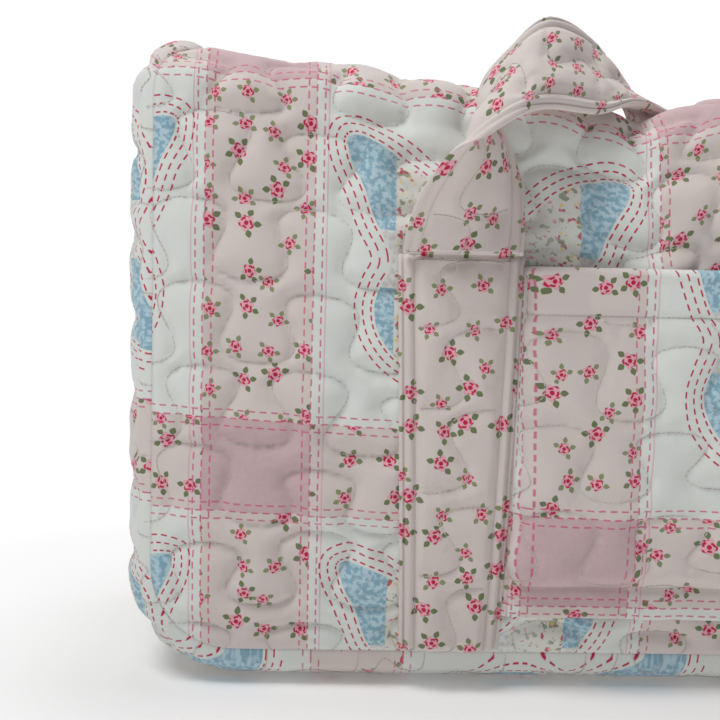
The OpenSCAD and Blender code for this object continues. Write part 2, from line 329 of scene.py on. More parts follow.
def build_rose(net: Net, wires: dict[str, Wire]) -> dict[str, Wire]:
    """Scatters small roses, each with its leaves.

    Args:
        net: the group's nodes.
        wires: Flat, the flat place.

    Returns:
        Colour, and Mask, which is 1 on a rose or leaf.
    """
    spot = net.node("ShaderNodeTexVoronoi", voronoi_dimensions="2D")
    scaled = net.node("ShaderNodeVectorMath", operation="SCALE")
    net.feed(scaled.inputs[0], wires["Flat"])
    net.feed(scaled.inputs["Scale"], 1.0 / ROSE_STEP)
    net.feed(spot.inputs["Vector"], Wire(net, scaled.outputs[0]))
    net.feed(spot.inputs["Scale"], 1.0)
    net.feed(spot.inputs["Randomness"], 0.62)
    away = net.node("ShaderNodeVectorMath", operation="SUBTRACT")
    net.feed(away.inputs[0], Wire(net, scaled.outputs[0]))
    net.feed(away.inputs[1], Wire(net, spot.outputs["Position"]))
    x, y = net.split(Wire(net, away.outputs[0]))
    chance, chance_b = net.split(Wire(net, spot.outputs["Color"]))
    radius = net.math("SQRT", x * x + y * y) * ROSE_STEP
    turn = net.math("ARCTAN2", y, x) + chance * (2 * math.pi)
    size = chance_b * 0.35 + 0.82
    radius = radius / size
    bloom = net.below(radius, net.math("SINE", turn * 5.0) * 0.45 + 3.35, 0.4)
    heart = net.below(radius, 1.05, 0.35)
    swirl = net.math("ABSOLUTE", radius - 2.1 - net.math("SINE", turn * 2.0) * 0.3)
    curl = net.below(swirl, 0.5, 0.3) * net.below(net.math("SINE", turn * 3.0) * -1.0, -0.05, 0.3)
    rim = net.below(net.math("ABSOLUTE", radius - 3.1), 0.45, 0.3)
    rim = rim * net.below(net.math("SINE", turn * 3.0 + 2.2) * -1.0, -0.3, 0.3)
    red = net.math("MAXIMUM", heart, net.math("MAXIMUM", curl, rim))
    lobe = net.math("ABSOLUTE", net.wrap(turn + 0.5, math.pi / 5)) * radius
    along = net.math("MINIMUM", net.math("MAXIMUM", (radius - 3.0) / 3.9, 0.0), 1.0)
    reach = net.math("SINE", along * math.pi)
    side = net.below(net.math("COSINE", turn + 1.2) * -1.0, 0.62, 0.1)
    leaf = net.below(lobe, reach * 1.5 - 0.1, 0.3) * side
    mask = net.math("MAXIMUM", bloom, leaf)
    green = net.mix(net.below(chance_b, 0.5, 0.1), LEAF, LEAF_PALE)
    colour = net.mix(bloom, green, net.mix(red, ROSE_PINK, CRIMSON))
    return {"Colour": colour, "Mask": mask}


def build_patchwork(net: Net, wires: dict[str, Wire]) -> dict[str, Wire]:
    """Prints floral columns and bands, plain squares where they cross, and winged patches between.

    Args:
        net: the group's nodes.
        wires: Flat, the flat place, and Wing and Place, as wing_fields gives them.

    Returns:
        Colour.
    """
    flat = wires["Flat"]
    x, y = net.split(flat)
    side = net.math("ABSOLUTE", net.wrap(x, REPEAT / 2))
    rise = net.math("ABSOLUTE", net.wrap(y, RISE_REPEAT / 2))
    column = net.below(side, COLUMN_HALF, 0.3)
    band = net.below(rise, BAND_HALF, 0.3)
    floral = net.math("MAXIMUM", column, band)
    square = column * band

    def dashes(offset: Wire, along: Wire, spread: float = LINE_STEP) -> Wire:
        """Three dashed lines about an edge.

        Args:
            offset: distance from the edge.
            along: length along it.
            spread: distance between lines.

        Returns:
            A mask of the dashes.
        """
        near = net.below(net.math("ABSOLUTE", offset), 1.5 * spread, 0.1)
        line = net.below(net.math("ABSOLUTE", net.wrap(offset, spread / 2)), 0.42, 0.35)
        shift = net.math("ROUND", offset / spread) * 2.3
        gap = net.below(net.math("ABSOLUTE", net.wrap(along + shift, DASH_PITCH / 2)), 1.75, 0.5)
        return near * line * gap

    def speckle(cloth: Wire, colour: Colour, scale: float, detail: float, level: float, soft: float,
                share: float) -> Wire:
        """Scatters soft specks of a colour over a cloth.

        Args:
            cloth: the colour under the specks.
            colour: the specks' colour.
            scale: how fine they are.
            detail: how ragged they are.
            level: how much of the cloth they take.
            soft: width of their edges.
            share: how strong they are.

        Returns:
            The speckled colour.
        """
        return net.mix(net.below(net.noise(flat, scale, detail), level, soft) * share, cloth, colour)

    def strip(cloth: Wire, centre: float, half: float, over: Wire) -> Wire:
        """Lays an upright strip of another cloth over the wing."""
        return net.mix(net.below(net.math("ABSOLUTE", across - centre), half, 0.4), cloth, over)

    seams = net.math("MAXIMUM", dashes(side - COLUMN_HALF, y), dashes(rise - BAND_HALF, x))
    depth, arc = net.split(wires["Wing"])
    across, up = net.split(wires["Place"])
    stitched = dashes(depth + LINE_STEP * 1.2, arc)
    patch = net.below(depth, -2.6 * LINE_STEP, 0.3)
    mottle = net.noise(flat, 0.33, 4.0)
    cloud = net.noise(flat, 0.06, 3.0)
    sky = net.mix(net.below(mottle, 0.5, 0.12), SKY, SKY_DEEP)
    cream = net.mix(cloud, CREAM, WHITE_GROUND)
    blossom = speckle(cream, LEAF, 0.21, 3.0, 0.41, 0.05, 0.7)
    blossom = speckle(blossom, CRIMSON, 0.24, 1.0, 0.37, 0.06, 0.8)
    blossom = speckle(blossom, YELLOW, 0.27, 1.0, 0.33, 0.05, 0.8)
    misty = net.mix(net.below(mottle, 0.5, 0.2), GREY_PINK, WHITE_GROUND)
    climb = speckle(cream, LEAF_PALE, 0.3, 2.0, 0.4, 0.06, 0.6)
    climb = speckle(climb, LINE_PINK, 0.26, 1.0, 0.35, 0.06, 0.7)
    wing = strip(misty, 60.0, 13.0, sky)
    wing = net.mix(net.below(net.math("ABSOLUTE", up), 15.0, 0.4), wing, misty)
    wing = strip(wing, 41.0, 6.0, blossom)
    wing = strip(wing, 27.0, 8.0, climb)
    wing = net.mix(net.below(across, 19.0, 0.4), wing, misty)
    white = net.mix(cloud * 0.35, WHITE_GROUND, CREAM)
    white = net.mix(patch, white, wing)
    roses = net.use(ROSE, Flat=flat)
    ground = net.mix(cloud * 0.5, FLORAL_GROUND, FLORAL_BLUSH)
    flowers = net.mix(roses["Mask"], ground, roses["Colour"])
    plain = net.mix(net.below(mottle, 0.5, 0.5), PINK_GROUND, PINK_DEEP)
    cloth = net.mix(floral, white, net.mix(square, flowers, plain))
    red = net.mix(net.noise(flat, 0.05), CRIMSON, LINE_PINK)
    edge = net.below(net.math("ABSOLUTE", side - COLUMN_HALF - 1.5 * LINE_STEP), 0.3, 0.4) * 0.5
    cloth = net.mix(edge, cloth, LINE_PINK)
    cloth = net.mix(seams * 0.85, cloth, red)
    cloth = net.mix(stitched, cloth, CRIMSON)
    return {"Colour": cloth}


def build_weave(net: Net, wires: dict[str, Wire]) -> dict[str, Wire]:
    """Weaves fine yarns over and under.

    Args:
        net: the group's nodes.
        wires: Flat, the flat place.

    Returns:
        Height, and Shade, a faint light and dark.
    """
    x, y = net.split(wires["Flat"])
    yarn = 2 * math.pi / YARN_PITCH
    over = net.math("SINE", x * yarn) * net.math("SINE", y * yarn)
    slub = net.noise(wires["Flat"], 1.4, 3.0)
    height = over * 0.5 + slub * 0.8
    return {"Height": height, "Shade": slub * 0.14 + 0.93}


ROSE = shader_group("rose_print", {"Flat": "Vector"}, {"Colour": "Color", "Mask": "Float"}, build_rose)
PATCHWORK = shader_group(
    "patchwork_print", {"Flat": "Vector", "Wing": "Vector", "Place": "Vector"},
    {"Colour": "Color"}, build_patchwork)
WEAVE = shader_group("cotton_weave", {"Flat": "Vector"}, {"Height": "Float", "Shade": "Float"}, build_weave)


# ---- Finishes --------------------------------------------------------------------------------


@dataclass(frozen=True)
class Cotton:
    """Printed or plain woven cotton.

    Args:
        name: the material's name.
        ground: colour of plain cloth.
        motif: what is printed on it.
        roughness: how matt it is.
        relief: depth of the weave in metres.
    """

    name: str
    ground: Colour = FLORAL_GROUND
    motif: Motif = Motif.PLAIN
    roughness: float = 0.82
    relief: float = 0.00012

    def make(self) -> bpy.types.Material:
        """Builds the material.

        Returns:
            The material.
        """
        made = bpy.data.materials.new(self.name)
        made.use_nodes = True
        net = Net(made.node_tree)
        skin = made.node_tree.nodes["Principled BSDF"]
        flat = net.attribute("flat_mm")
        weave = net.use(WEAVE, Flat=flat)
        if self.motif is Motif.PATCHWORK:
            colour = net.use(PATCHWORK, Flat=flat, Wing=net.attribute("wing"),
                             Place=net.attribute("wing_place"))["Colour"]
        elif self.motif is Motif.ROSES:
            roses = net.use(ROSE, Flat=flat)
            tint = net.mix(net.noise(flat, 0.05) * 0.6, self.ground, FLORAL_BLUSH)
            colour = net.mix(roses["Mask"], tint, roses["Colour"])
        else:
            colour = net.mix(net.noise(flat, 0.08), self.ground, darker(self.ground, 0.92))
        shaded = net.node("ShaderNodeMix", data_type="RGBA", blend_type="MULTIPLY")
        net.feed(shaded.inputs[0], 1.0)
        net.feed(shaded.inputs[6], colour)
        shade = net.node("ShaderNodeCombineColor")
        for channel in shade.inputs:
            net.feed(channel, weave["Shade"])
        net.feed(shaded.inputs[7], Wire(net, shade.outputs[0]))
        net.feed(skin.inputs["Base Color"], Wire(net, shaded.outputs[2]))
        bump = net.node("ShaderNodeBump")
        bump.inputs["Strength"].default_value = 0.45
        bump.inputs["Distance"].default_value = self.relief
        net.feed(bump.inputs["Height"], weave["Height"])
        net.feed(skin.inputs["Normal"], Wire(net, bump.outputs[0]))
        net.feed(skin.inputs["Roughness"], weave["Height"] * 0.06 + self.roughness)
        skin.inputs["Sheen Weight"].default_value = 0.25
        skin.inputs["Sheen Roughness"].default_value = 0.5
        skin.inputs["Specular IOR Level"].default_value = 0.25
        return made


@dataclass(frozen=True)
class Hard:
    """A hard finish with fine wear, such as plated metal, nylon or board.

    Args:
        name: the material's name.
        colour: its colour.
        metal: 1 for metal, 0 for plastic.
        roughness: how matt it is.
    """

    name: str
    colour: Colour
    metal: float
    roughness: float

    def make(self) -> bpy.types.Material:
        """Builds the material.

        Returns:
            The material.
        """
        made = bpy.data.materials.new(self.name)
        made.use_nodes = True
        net = Net(made.node_tree)
        skin = made.node_tree.nodes["Principled BSDF"]
        place = Wire(net, net.node("ShaderNodeTexCoord").outputs["Object"])
        grain = net.noise(place, 900.0, 4.0)
        wear = net.noise(place, 160.0, 3.0)
        worn = darker(self.colour, 0.8)
        net.feed(skin.inputs["Base Color"], net.mix(net.below(wear, 0.42, 0.2), self.colour, worn))
        net.feed(skin.inputs["Roughness"], grain * 0.2 + (self.roughness - 0.1))
        bump = net.node("ShaderNodeBump")
        bump.inputs["Strength"].default_value = 0.25
        bump.inputs["Distance"].default_value = 0.00004
        net.feed(bump.inputs["Height"], grain)
        net.feed(skin.inputs["Normal"], Wire(net, bump.outputs[0]))
        skin.inputs["Metallic"].default_value = self.metal
        return made


# ---- Meshes ----------------------------------------------------------------------------------


def unit_rows(vectors: Grid) -> Grid:
    """Scales each vector of an array to length 1."""
    return vectors / np.maximum(np.linalg.norm(vectors, axis=-1, keepdims=True), 1e-9)


def grid_normals(points: Grid) -> Grid:
    """Finds the normals of a surface.

    Args:
        points: grid of points on it.

    Returns:
        A unit normal at each point.
    """
    down = np.gradient(points, axis=0)
    over = np.gradient(points, axis=1)
    return unit_rows(np.cross(over, down))


def slab_faces(rows: int, cols: int) -> list[tuple[int, int, int, int]]:
    """Faces of a closed slab between two grids of the same size.

    Args:
        rows: rows of each grid.
        cols: columns of each grid.

    Returns:
        Four-sided faces that point outwards.
    """
    k = rows * cols
    cells = [i * cols + j for i in range(rows - 1) for j in range(cols - 1)]
    faces = [(a, a + 1, a + cols + 1, a + cols) for a in cells]
    faces += [(k + a, k + a + cols, k + a + cols + 1, k + a + 1) for a in cells]
    top = (rows - 1) * cols
    faces += [(j + 1, j, k + j, k + j + 1) for j in range(cols - 1)]
    faces += [(j, j + 1, k + j + 1, k + j) for j in range(top, top + cols - 1)]
    faces += [(a, a + cols, k + a + cols, k + a) for a in range(0, top, cols)]
    faces += [(a + cols, a, k + a, k + a + cols) for a in range(cols - 1, top, cols)]
    return faces


def make_piece(name: str, points: Grid, faces: list[tuple[int, ...]], attributes: dict[str, Grid],
               finish: bpy.types.Material) -> bpy.types.Object:
    """Makes a smooth-shaded object from points in millimetres.

    Args:
        name: the piece's name.
        points: an array of points.
        faces: index tuples.
        attributes: vector attributes, one row for each point.
        finish: its material.

    Returns:
        The object.
    """
    mesh = bpy.data.meshes.new(name)
    mesh.from_pydata((points * MM).tolist(), [], faces)
    for label, values in attributes.items():
        layer = mesh.attributes.new(label, "FLOAT_VECTOR", "POINT")
        full = np.zeros((len(points), 3))
        full[:, :values.shape[1]] = values
        layer.data.foreach_set("vector", full.ravel())
    mesh.polygons.foreach_set("use_smooth", [True] * len(mesh.polygons))
    mesh.materials.append(finish)
    mesh.update()
    made = bpy.data.objects.new(name, mesh)
    bpy.context.scene.collection.objects.link(made)
    return made


def slab_piece(name: str, outer: Grid, inner: Grid, attributes: dict[str, Grid],
               finish: bpy.types.Material) -> bpy.types.Object:
    """Makes a closed piece between an outer and an inner grid.

    Args:
        name: the piece's name.
        outer: grid of outer points.
        inner: grid of inner points.
        attributes: grids of vectors, the same on both skins.
        finish: its material.

    Returns:
        The object.
    """
    rows, cols = outer.shape[:2]
    points = np.concatenate([outer.reshape(-1, 3), inner.reshape(-1, 3)])
    both = {k: np.concatenate([v.reshape(-1, v.shape[-1])] * 2) for k, v in attributes.items()}
    return make_piece(name, points, slab_faces(rows, cols), both, finish)


def ease(t: Grid) -> Grid:
    """Smooth step from 0 to 1."""
    c = np.clip(t, 0, 1)
    return c * c * (3 - 2 * c)


def wrinkles(flat: Grid, seed: int, waves: int = 14, short: float = 45, long: float = 130) -> Grid:
    """Soft uneven folds of cloth.

    Args:
        flat: flat places in millimetres.
        seed: picks one set of folds.
        waves: how many folds are summed.
        short: shortest fold.
        long: longest fold.

    Returns:
        Heights between about -1 and 1.
    """
    dice = random.Random(seed)
    total = np.zeros(flat.shape[:-1])
    for _ in range(waves):
        angle = dice.uniform(0, math.pi)
        pace = 2 * math.pi / dice.uniform(short, long)
        phase = dice.uniform(0, 2 * math.pi)
        bend = dice.uniform(0.5, 1.5)
        u = flat[..., 0] * math.cos(angle) + flat[..., 1] * math.sin(angle)
        v = flat[..., 1] * math.cos(angle) - flat[..., 0] * math.sin(angle)
        total += np.sin(u * pace + phase + bend * np.sin(v * pace * 0.7 + phase * 2))
    return total / math.sqrt(waves)


# ---- Quilting --------------------------------------------------------------------------------


@dataclass
class Quilting:
    """Wandering quilting lines over flat cloth, with bulbs to both sides.

    Args:
        low: lowest flat corner.
        high: highest flat corner.
        seed: picks one wandering.
        step: distance between lines.
        puff: height of the wadding between lines.
        period: length of one wander.
        lines: the lines, drawn when the quilting is made.
    """

    low: tuple[float, float]
    high: tuple[float, float]
    seed: int
    step: float = 43.0
    puff: float = 5.6
    period: float = 60.0
    lines: list[Grid] = field(default_factory=list)

    def __post_init__(self) -> None:
        """Draws the lines."""
        dice = random.Random(self.seed)
        count = int((self.high[1] - self.low[1]) / self.step) + 3
        t = np.arange(self.low[0] - 1.5 * self.period, self.high[0] + 1.5 * self.period, 0.5)
        for k in range(-1, count):
            slow = dice.uniform(0, 6)
            turn = 2 * math.pi * t / self.period + dice.uniform(-0.4, 0.4) + 0.45 * np.sin(t / 47 + slow)
            tall = 18.5 + 3.0 * np.sin(t / 39 + 1.7 * slow)
            x = t - (10.5 + 1.5 * np.sin(t / 61 + slow)) * np.sin(2 * turn)
            y = self.low[1] + k * self.step + tall * np.sin(turn) + 3.5 * np.sin(t / 33 + 2 * slow)
            self.lines.append(np.stack([x, y], -1))

    def distance(self, flat: Grid) -> Grid:
        """Measures how far the cloth is from its quilting.

        Args:
            flat: flat places.

        Returns:
            The distance from each place to the nearest line.
        """
        spots = np.concatenate([line[::2] for line in self.lines])
        tree = kdtree.KDTree(len(spots))
        for i, (x, y) in enumerate(spots):
            tree.insert((x, y, 0), i)
        tree.balance()
        found = [tree.find((x, y, 0))[2] for x, y in flat.reshape(-1, 2)]
        return np.array(found).reshape(flat.shape[:-1])

    def relief(self, flat: Grid) -> Grid:
        """Raises the cloth between its lines.

        Args:
            flat: flat places.

        Returns:
            The height at each place, 0 on a line, with fine puckers beside it.
        """
        away = self.distance(flat)
        steep = 1 - np.exp(-(away / 2.4) ** 1.5)
        broad = 1 - np.exp(-(away / 8.5) ** 1.6)
        dome = self.puff * (0.45 * steep + 0.55 * broad)
        pucker = 0.35 * np.exp(-((away - 3.5) / 3.0) ** 2) * wrinkles(flat, self.seed + 5, 10, 6, 14)
        return dome + pucker


def path_tree(name: str, numbers: dict[str, float], dressing: str,
              build: Callable[[Net, dict[str, Wire]], Wire]) -> bpy.types.NodeTree:
    """Geometry nodes that repeat a small shape along loose edges.

    Args:
        name: the tree's name.
        numbers: its number inputs with their usual values. Pitch is the distance between shapes.
        dressing: the name of its material input.
        build: adds the nodes of the small shape and returns its mesh.

    Returns:
        The tree.
    """
    tree = bpy.data.node_groups.new(name, "GeometryNodeTree")
    tree.interface.new_socket("Geometry", in_out="INPUT", socket_type="NodeSocketGeometry")
    for label, size in numbers.items():
        tree.interface.new_socket(label, in_out="INPUT", socket_type="NodeSocketFloat").default_value = size
    tree.interface.new_socket(dressing, in_out="INPUT", socket_type="NodeSocketMaterial")
    tree.interface.new_socket("Geometry", in_out="OUTPUT", socket_type="NodeSocketGeometry")
    net = Net(tree)
    entry = net.node("NodeGroupInput")
    pick = {out.name: Wire(net, out) for out in entry.outputs if out.name}
    curve = net.node("GeometryNodeMeshToCurve")
    net.feed(curve.inputs["Mesh"], pick["Geometry"])
    spots = net.node("GeometryNodeCurveToPoints", mode="LENGTH")
    net.feed(spots.inputs["Curve"], Wire(net, curve.outputs[0]))
    net.feed(spots.inputs["Length"], pick["Pitch"])
    turn = net.node("FunctionNodeAlignRotationToVector", axis="Z")
    net.feed(turn.inputs["Vector"], Wire(net, spots.outputs["Tangent"]))
    lay = net.node("GeometryNodeInstanceOnPoints")
    net.feed(lay.inputs["Points"], Wire(net, spots.outputs["Points"]))
    net.feed(lay.inputs["Instance"], build(net, pick))
    net.feed(lay.inputs["Rotation"], Wire(net, turn.outputs["Rotation"]))
    real = net.node("GeometryNodeRealizeInstances")
    net.feed(real.inputs[0], Wire(net, lay.outputs[0]))
    dress = net.node("GeometryNodeSetMaterial")
    net.feed(dress.inputs["Geometry"], Wire(net, real.outputs[0]))
    net.feed(dress.inputs["Material"], pick[dressing])
    leave = net.node("NodeGroupOutput")
    net.feed(leave.inputs["Geometry"], Wire(net, dress.outputs[0]))
    return tree


def build_stitch(net: Net, pick: dict[str, Wire]) -> Wire:
    """One short round stitch.

    Args:
        net: the tree's nodes.
        pick: its inputs, Length and Radius among them.

    Returns:
        The stitch's mesh.
    """
    stitch = net.node("GeometryNodeMeshCylinder", fill_type="TRIANGLE_FAN")
    net.feed(stitch.inputs["Vertices"], 5)
    net.feed(stitch.inputs["Radius"], pick["Radius"])
    net.feed(stitch.inputs["Depth"], pick["Length"])
    return Wire(net, stitch.outputs["Mesh"])


def build_tooth(net: Net, pick: dict[str, Wire]) -> Wire:
    """One round loop of a nylon coil.

    Args:
        net: the tree's nodes.
        pick: its inputs, Radius and Wire among them.

    Returns:
        The loop's mesh.
    """
    ring = net.node("GeometryNodeCurveToMesh")
    for socket, label, sides in (("Curve", "Radius", 10), ("Profile Curve", "Wire", 6)):
        loop = net.node("GeometryNodeCurvePrimitiveCircle", mode="RADIUS")
        net.feed(loop.inputs["Resolution"], sides)
        net.feed(loop.inputs["Radius"], pick[label])
        net.feed(ring.inputs[socket], Wire(net, loop.outputs["Curve"]))
    smooth = net.node("GeometryNodeSetShadeSmooth")
    net.feed(smooth.inputs[0], Wire(net, ring.outputs[0]))
    return Wire(net, smooth.outputs[0])


STITCH_RUN = path_tree("stitch_run", {"Pitch": 0.0026, "Length": 0.0019, "Radius": 0.00032}, "Thread",
                       build_stitch)
COIL_TEETH = path_tree("coil_teeth", {"Pitch": 0.002, "Radius": 0.0011, "Wire": 0.0005}, "Nylon",
                       build_tooth)
OFF_CLOTH = 1e6


def grow(name: str, tree: bpy.types.NodeTree, points: Grid, edges: list[tuple[int, int]],
         **values: object) -> bpy.types.Object:
    """Runs a geometry node tree on loose points and edges and keeps the result as a plain mesh.

    Args:
        name: the new piece's name.
        tree: the geometry nodes.
        points: points in millimetres.
        edges: pairs of point numbers.
        values: the tree's inputs by name.

    Returns:
        The finished object.
    """
    seed = bpy.data.meshes.new(name + "_path")
    seed.from_pydata((points * MM).tolist(), edges, [])
    source = bpy.data.objects.new(name + "_path", seed)
    bpy.context.scene.collection.objects.link(source)
    modifier = source.modifiers.new("grow", "NODES")
    modifier.node_group = tree
    for item in tree.interface.items_tree:
        if item.in_out == "INPUT" and item.name in values:
            modifier[item.identifier] = values[item.name]
    graph = bpy.context.evaluated_depsgraph_get()
    mesh = bpy.data.meshes.new_from_object(source.evaluated_get(graph))
    bpy.data.objects.remove(source)
    mesh.name = name
    made = bpy.data.objects.new(name, mesh)
    bpy.context.scene.collection.objects.link(made)
    return made


class Sewing:
    """Collects stitched paths on a surface and turns them into stitches."""

    def __init__(self, points: Grid, flat: Grid) -> None:
        """Keeps a surface and prepares a search by flat place.

        Args:
            points: grid of surface points.
            flat: grid of flat places.
        """
        self.points = points
        self.normals = grid_normals(points)
        self.flat = flat
        self.tree = kdtree.KDTree(flat.shape[0] * flat.shape[1])
        for i, (x, y) in enumerate(flat.reshape(-1, 2)):
            self.tree.insert((x, y, 0), i)
        self.tree.balance()
        self.path_points: list[Grid] = []
        self.edges: list[tuple[int, int]] = []
        self.total = 0
        down = np.gradient(points, axis=0), np.gradient(flat, axis=0)
        over = np.gradient(points, axis=1), np.gradient(flat, axis=1)
        det = over[1][..., 0] * down[1][..., 1] - over[1][..., 1] * down[1][..., 0]
        det = np.where(np.abs(det) < 1e-6, 1e-6, det)[..., None]
        self.per_x = (over[0] * down[1][..., 1:2] - down[0] * over[1][..., 1:2]) / det
        self.per_y = (down[0] * over[1][..., 0:1] - over[0] * down[1][..., 0:1]) / det

    def sew(self, line: Grid, hidden: Grid | None = None, lift: float = 0.15, reach: float = 3.0) -> None:
        """Adds the stretches of a flat line that lie on the surface.

        Args:
            line: flat places along the line.
            hidden: true at the places to leave out.
            lift: how far the thread stands off the cloth.
            reach: how far from the cloth's edge a stitch may be.
        """
        if hidden is not None:
            line = np.where(hidden[:, None], OFF_CLOTH, line)
        last = -1
        chosen = []
        for x, y in line:
            _, index, gap = self.tree.find((x, y, 0))
            if gap > reach:
                last = -1
                continue
            i, j = divmod(index, self.flat.shape[1])
            step = np.array((x, y)) - self.flat[i, j]
            spot = self.points[i, j] + self.per_x[i, j] * step[0] + self.per_y[i, j] * step[1]
            chosen.append(spot + self.normals[i, j] * lift)
            number = self.total + len(chosen) - 1
            if last >= 0:
                self.edges.append((last, number))
            last = number
        if chosen:
            self.path_points.append(np.array(chosen))
            self.total += len(chosen)

    def finish(self, name: str, thread: bpy.types.Material, **sizes: float) -> bpy.types.Object:
        """Makes the stitches.

        Args:
            name: the new piece's name.
            thread: the thread's material.
            sizes: the stitch tree's number inputs, where they differ from the usual.

        Returns:
            The stitches as one object.
        """
        return grow(name, STITCH_RUN, np.concatenate(self.path_points), self.edges, Thread=thread, **sizes)


# ---- The winged patch ------------------------------------------------------------------------

# Right half of the outline of a winged patch, from the top middle to the bottom middle
WING = [(0, 28), (12, 38), (26, 53), (43, 65), (63, 73), (77, 71), (83, 62), (81, 48), (74, 33), (67, 14),
        (60, 0), (64, -10), (68, -24), (66, -40), (58, -54), (46, -64), (32, -68), (20, -62),
        (9, -48), (0, -32)]
WING_CENTRE = (116.0, 114.0)


def bend_between(a: Grid, b: Grid, c: Grid, d: Grid, steps: int) -> list[Grid]:
    """Places on a smooth curve from b towards c.

    Args:
        a: the point before b.
        b: where this stretch starts.
        c: where it ends.
        d: the point after c.
        steps: how many places.

    Returns:
        The places, from b on, without c.
    """
    places = []
    for t in np.arange(steps) / steps:
        bend = (2 * a - 5 * b + 4 * c - d) + t * (3 * b - a - 3 * c + d)
        places.append(b + t * ((c - a) + t * bend) / 2)
    return places


def wing_outline(steps: int = 8) -> Grid:
    """Closes the winged patch's outline with a smooth curve.

    Args:
        steps: places between two points.

    Returns:
        The whole outline.
    """
    half = np.array(WING, float)
    whole = np.concatenate([half, (half * (-1, 1))[-2:0:-1]])
    curve = []
    n = len(whole)
    for i in range(n):
        curve += bend_between(*(whole[(i + k) % n] for k in (-1, 0, 1, 2)), steps)
    return np.array(curve)


def wing_fields(flat: Grid) -> tuple[Grid, Grid]:
    """Places on the winged patches of each print repeat.

    Args:
        flat: flat places, with 0, 0 where a column and a band cross.

    Returns:
        The signed distance to the outline with the length along it, and the place in the patch.
    """
    outline = wing_outline()
    steps = np.linalg.norm(np.diff(outline, axis=0, append=outline[:1]), axis=1)
    length = np.concatenate([[0], np.cumsum(steps)[:-1]])
    x = (flat[..., 0] - WING_CENTRE[0] + REPEAT / 2) % REPEAT - REPEAT / 2
    y = (flat[..., 1] - WING_CENTRE[1] + RISE_REPEAT / 2) % RISE_REPEAT - RISE_REPEAT / 2
    spot = np.stack([x.ravel(), y.ravel()], -1)
    best = np.full(len(spot), 1e9)
    arc = np.zeros(len(spot))
    inside = np.zeros(len(spot), bool)
    ends = np.roll(outline, -1, axis=0)
    for k, (a, b) in enumerate(zip(outline, ends)):
        ab = b - a
        share = np.clip(((spot - a) @ ab) / (ab @ ab), 0, 1)
        away = np.linalg.norm(spot - a - share[:, None] * ab, axis=1)
        nearer = away < best
        best = np.where(nearer, away, best)
        arc = np.where(nearer, length[k] + share * steps[k], arc)
        crosses = (a[1] > spot[:, 1]) != (b[1] > spot[:, 1])
        slope = (b[0] - a[0]) * (spot[:, 1] - a[1]) / (b[1] - a[1] if b[1] != a[1] else 1e-9) + a[0]
        inside ^= crosses & (spot[:, 0] < slope)
    signed = np.where(inside, -best, best)
    place = np.stack([np.abs(x), y], -1)
    return np.stack([signed, arc], -1).reshape(flat.shape), place


def print_attributes(flat: Grid, origin: tuple[float, float]) -> dict[str, Grid]:
    """Attributes that the patchwork print reads.

    Args:
        flat: flat places on the piece.
        origin: where a column and a band cross on this piece.

    Returns:
        The attributes by name.
    """
    moved = flat - np.array(origin)
    wing, place = wing_fields(moved)
    return {"flat_mm": moved, "wing": wing, "wing_place": place}


# ---- Shape shared with the frame --------------------------------------------------------------


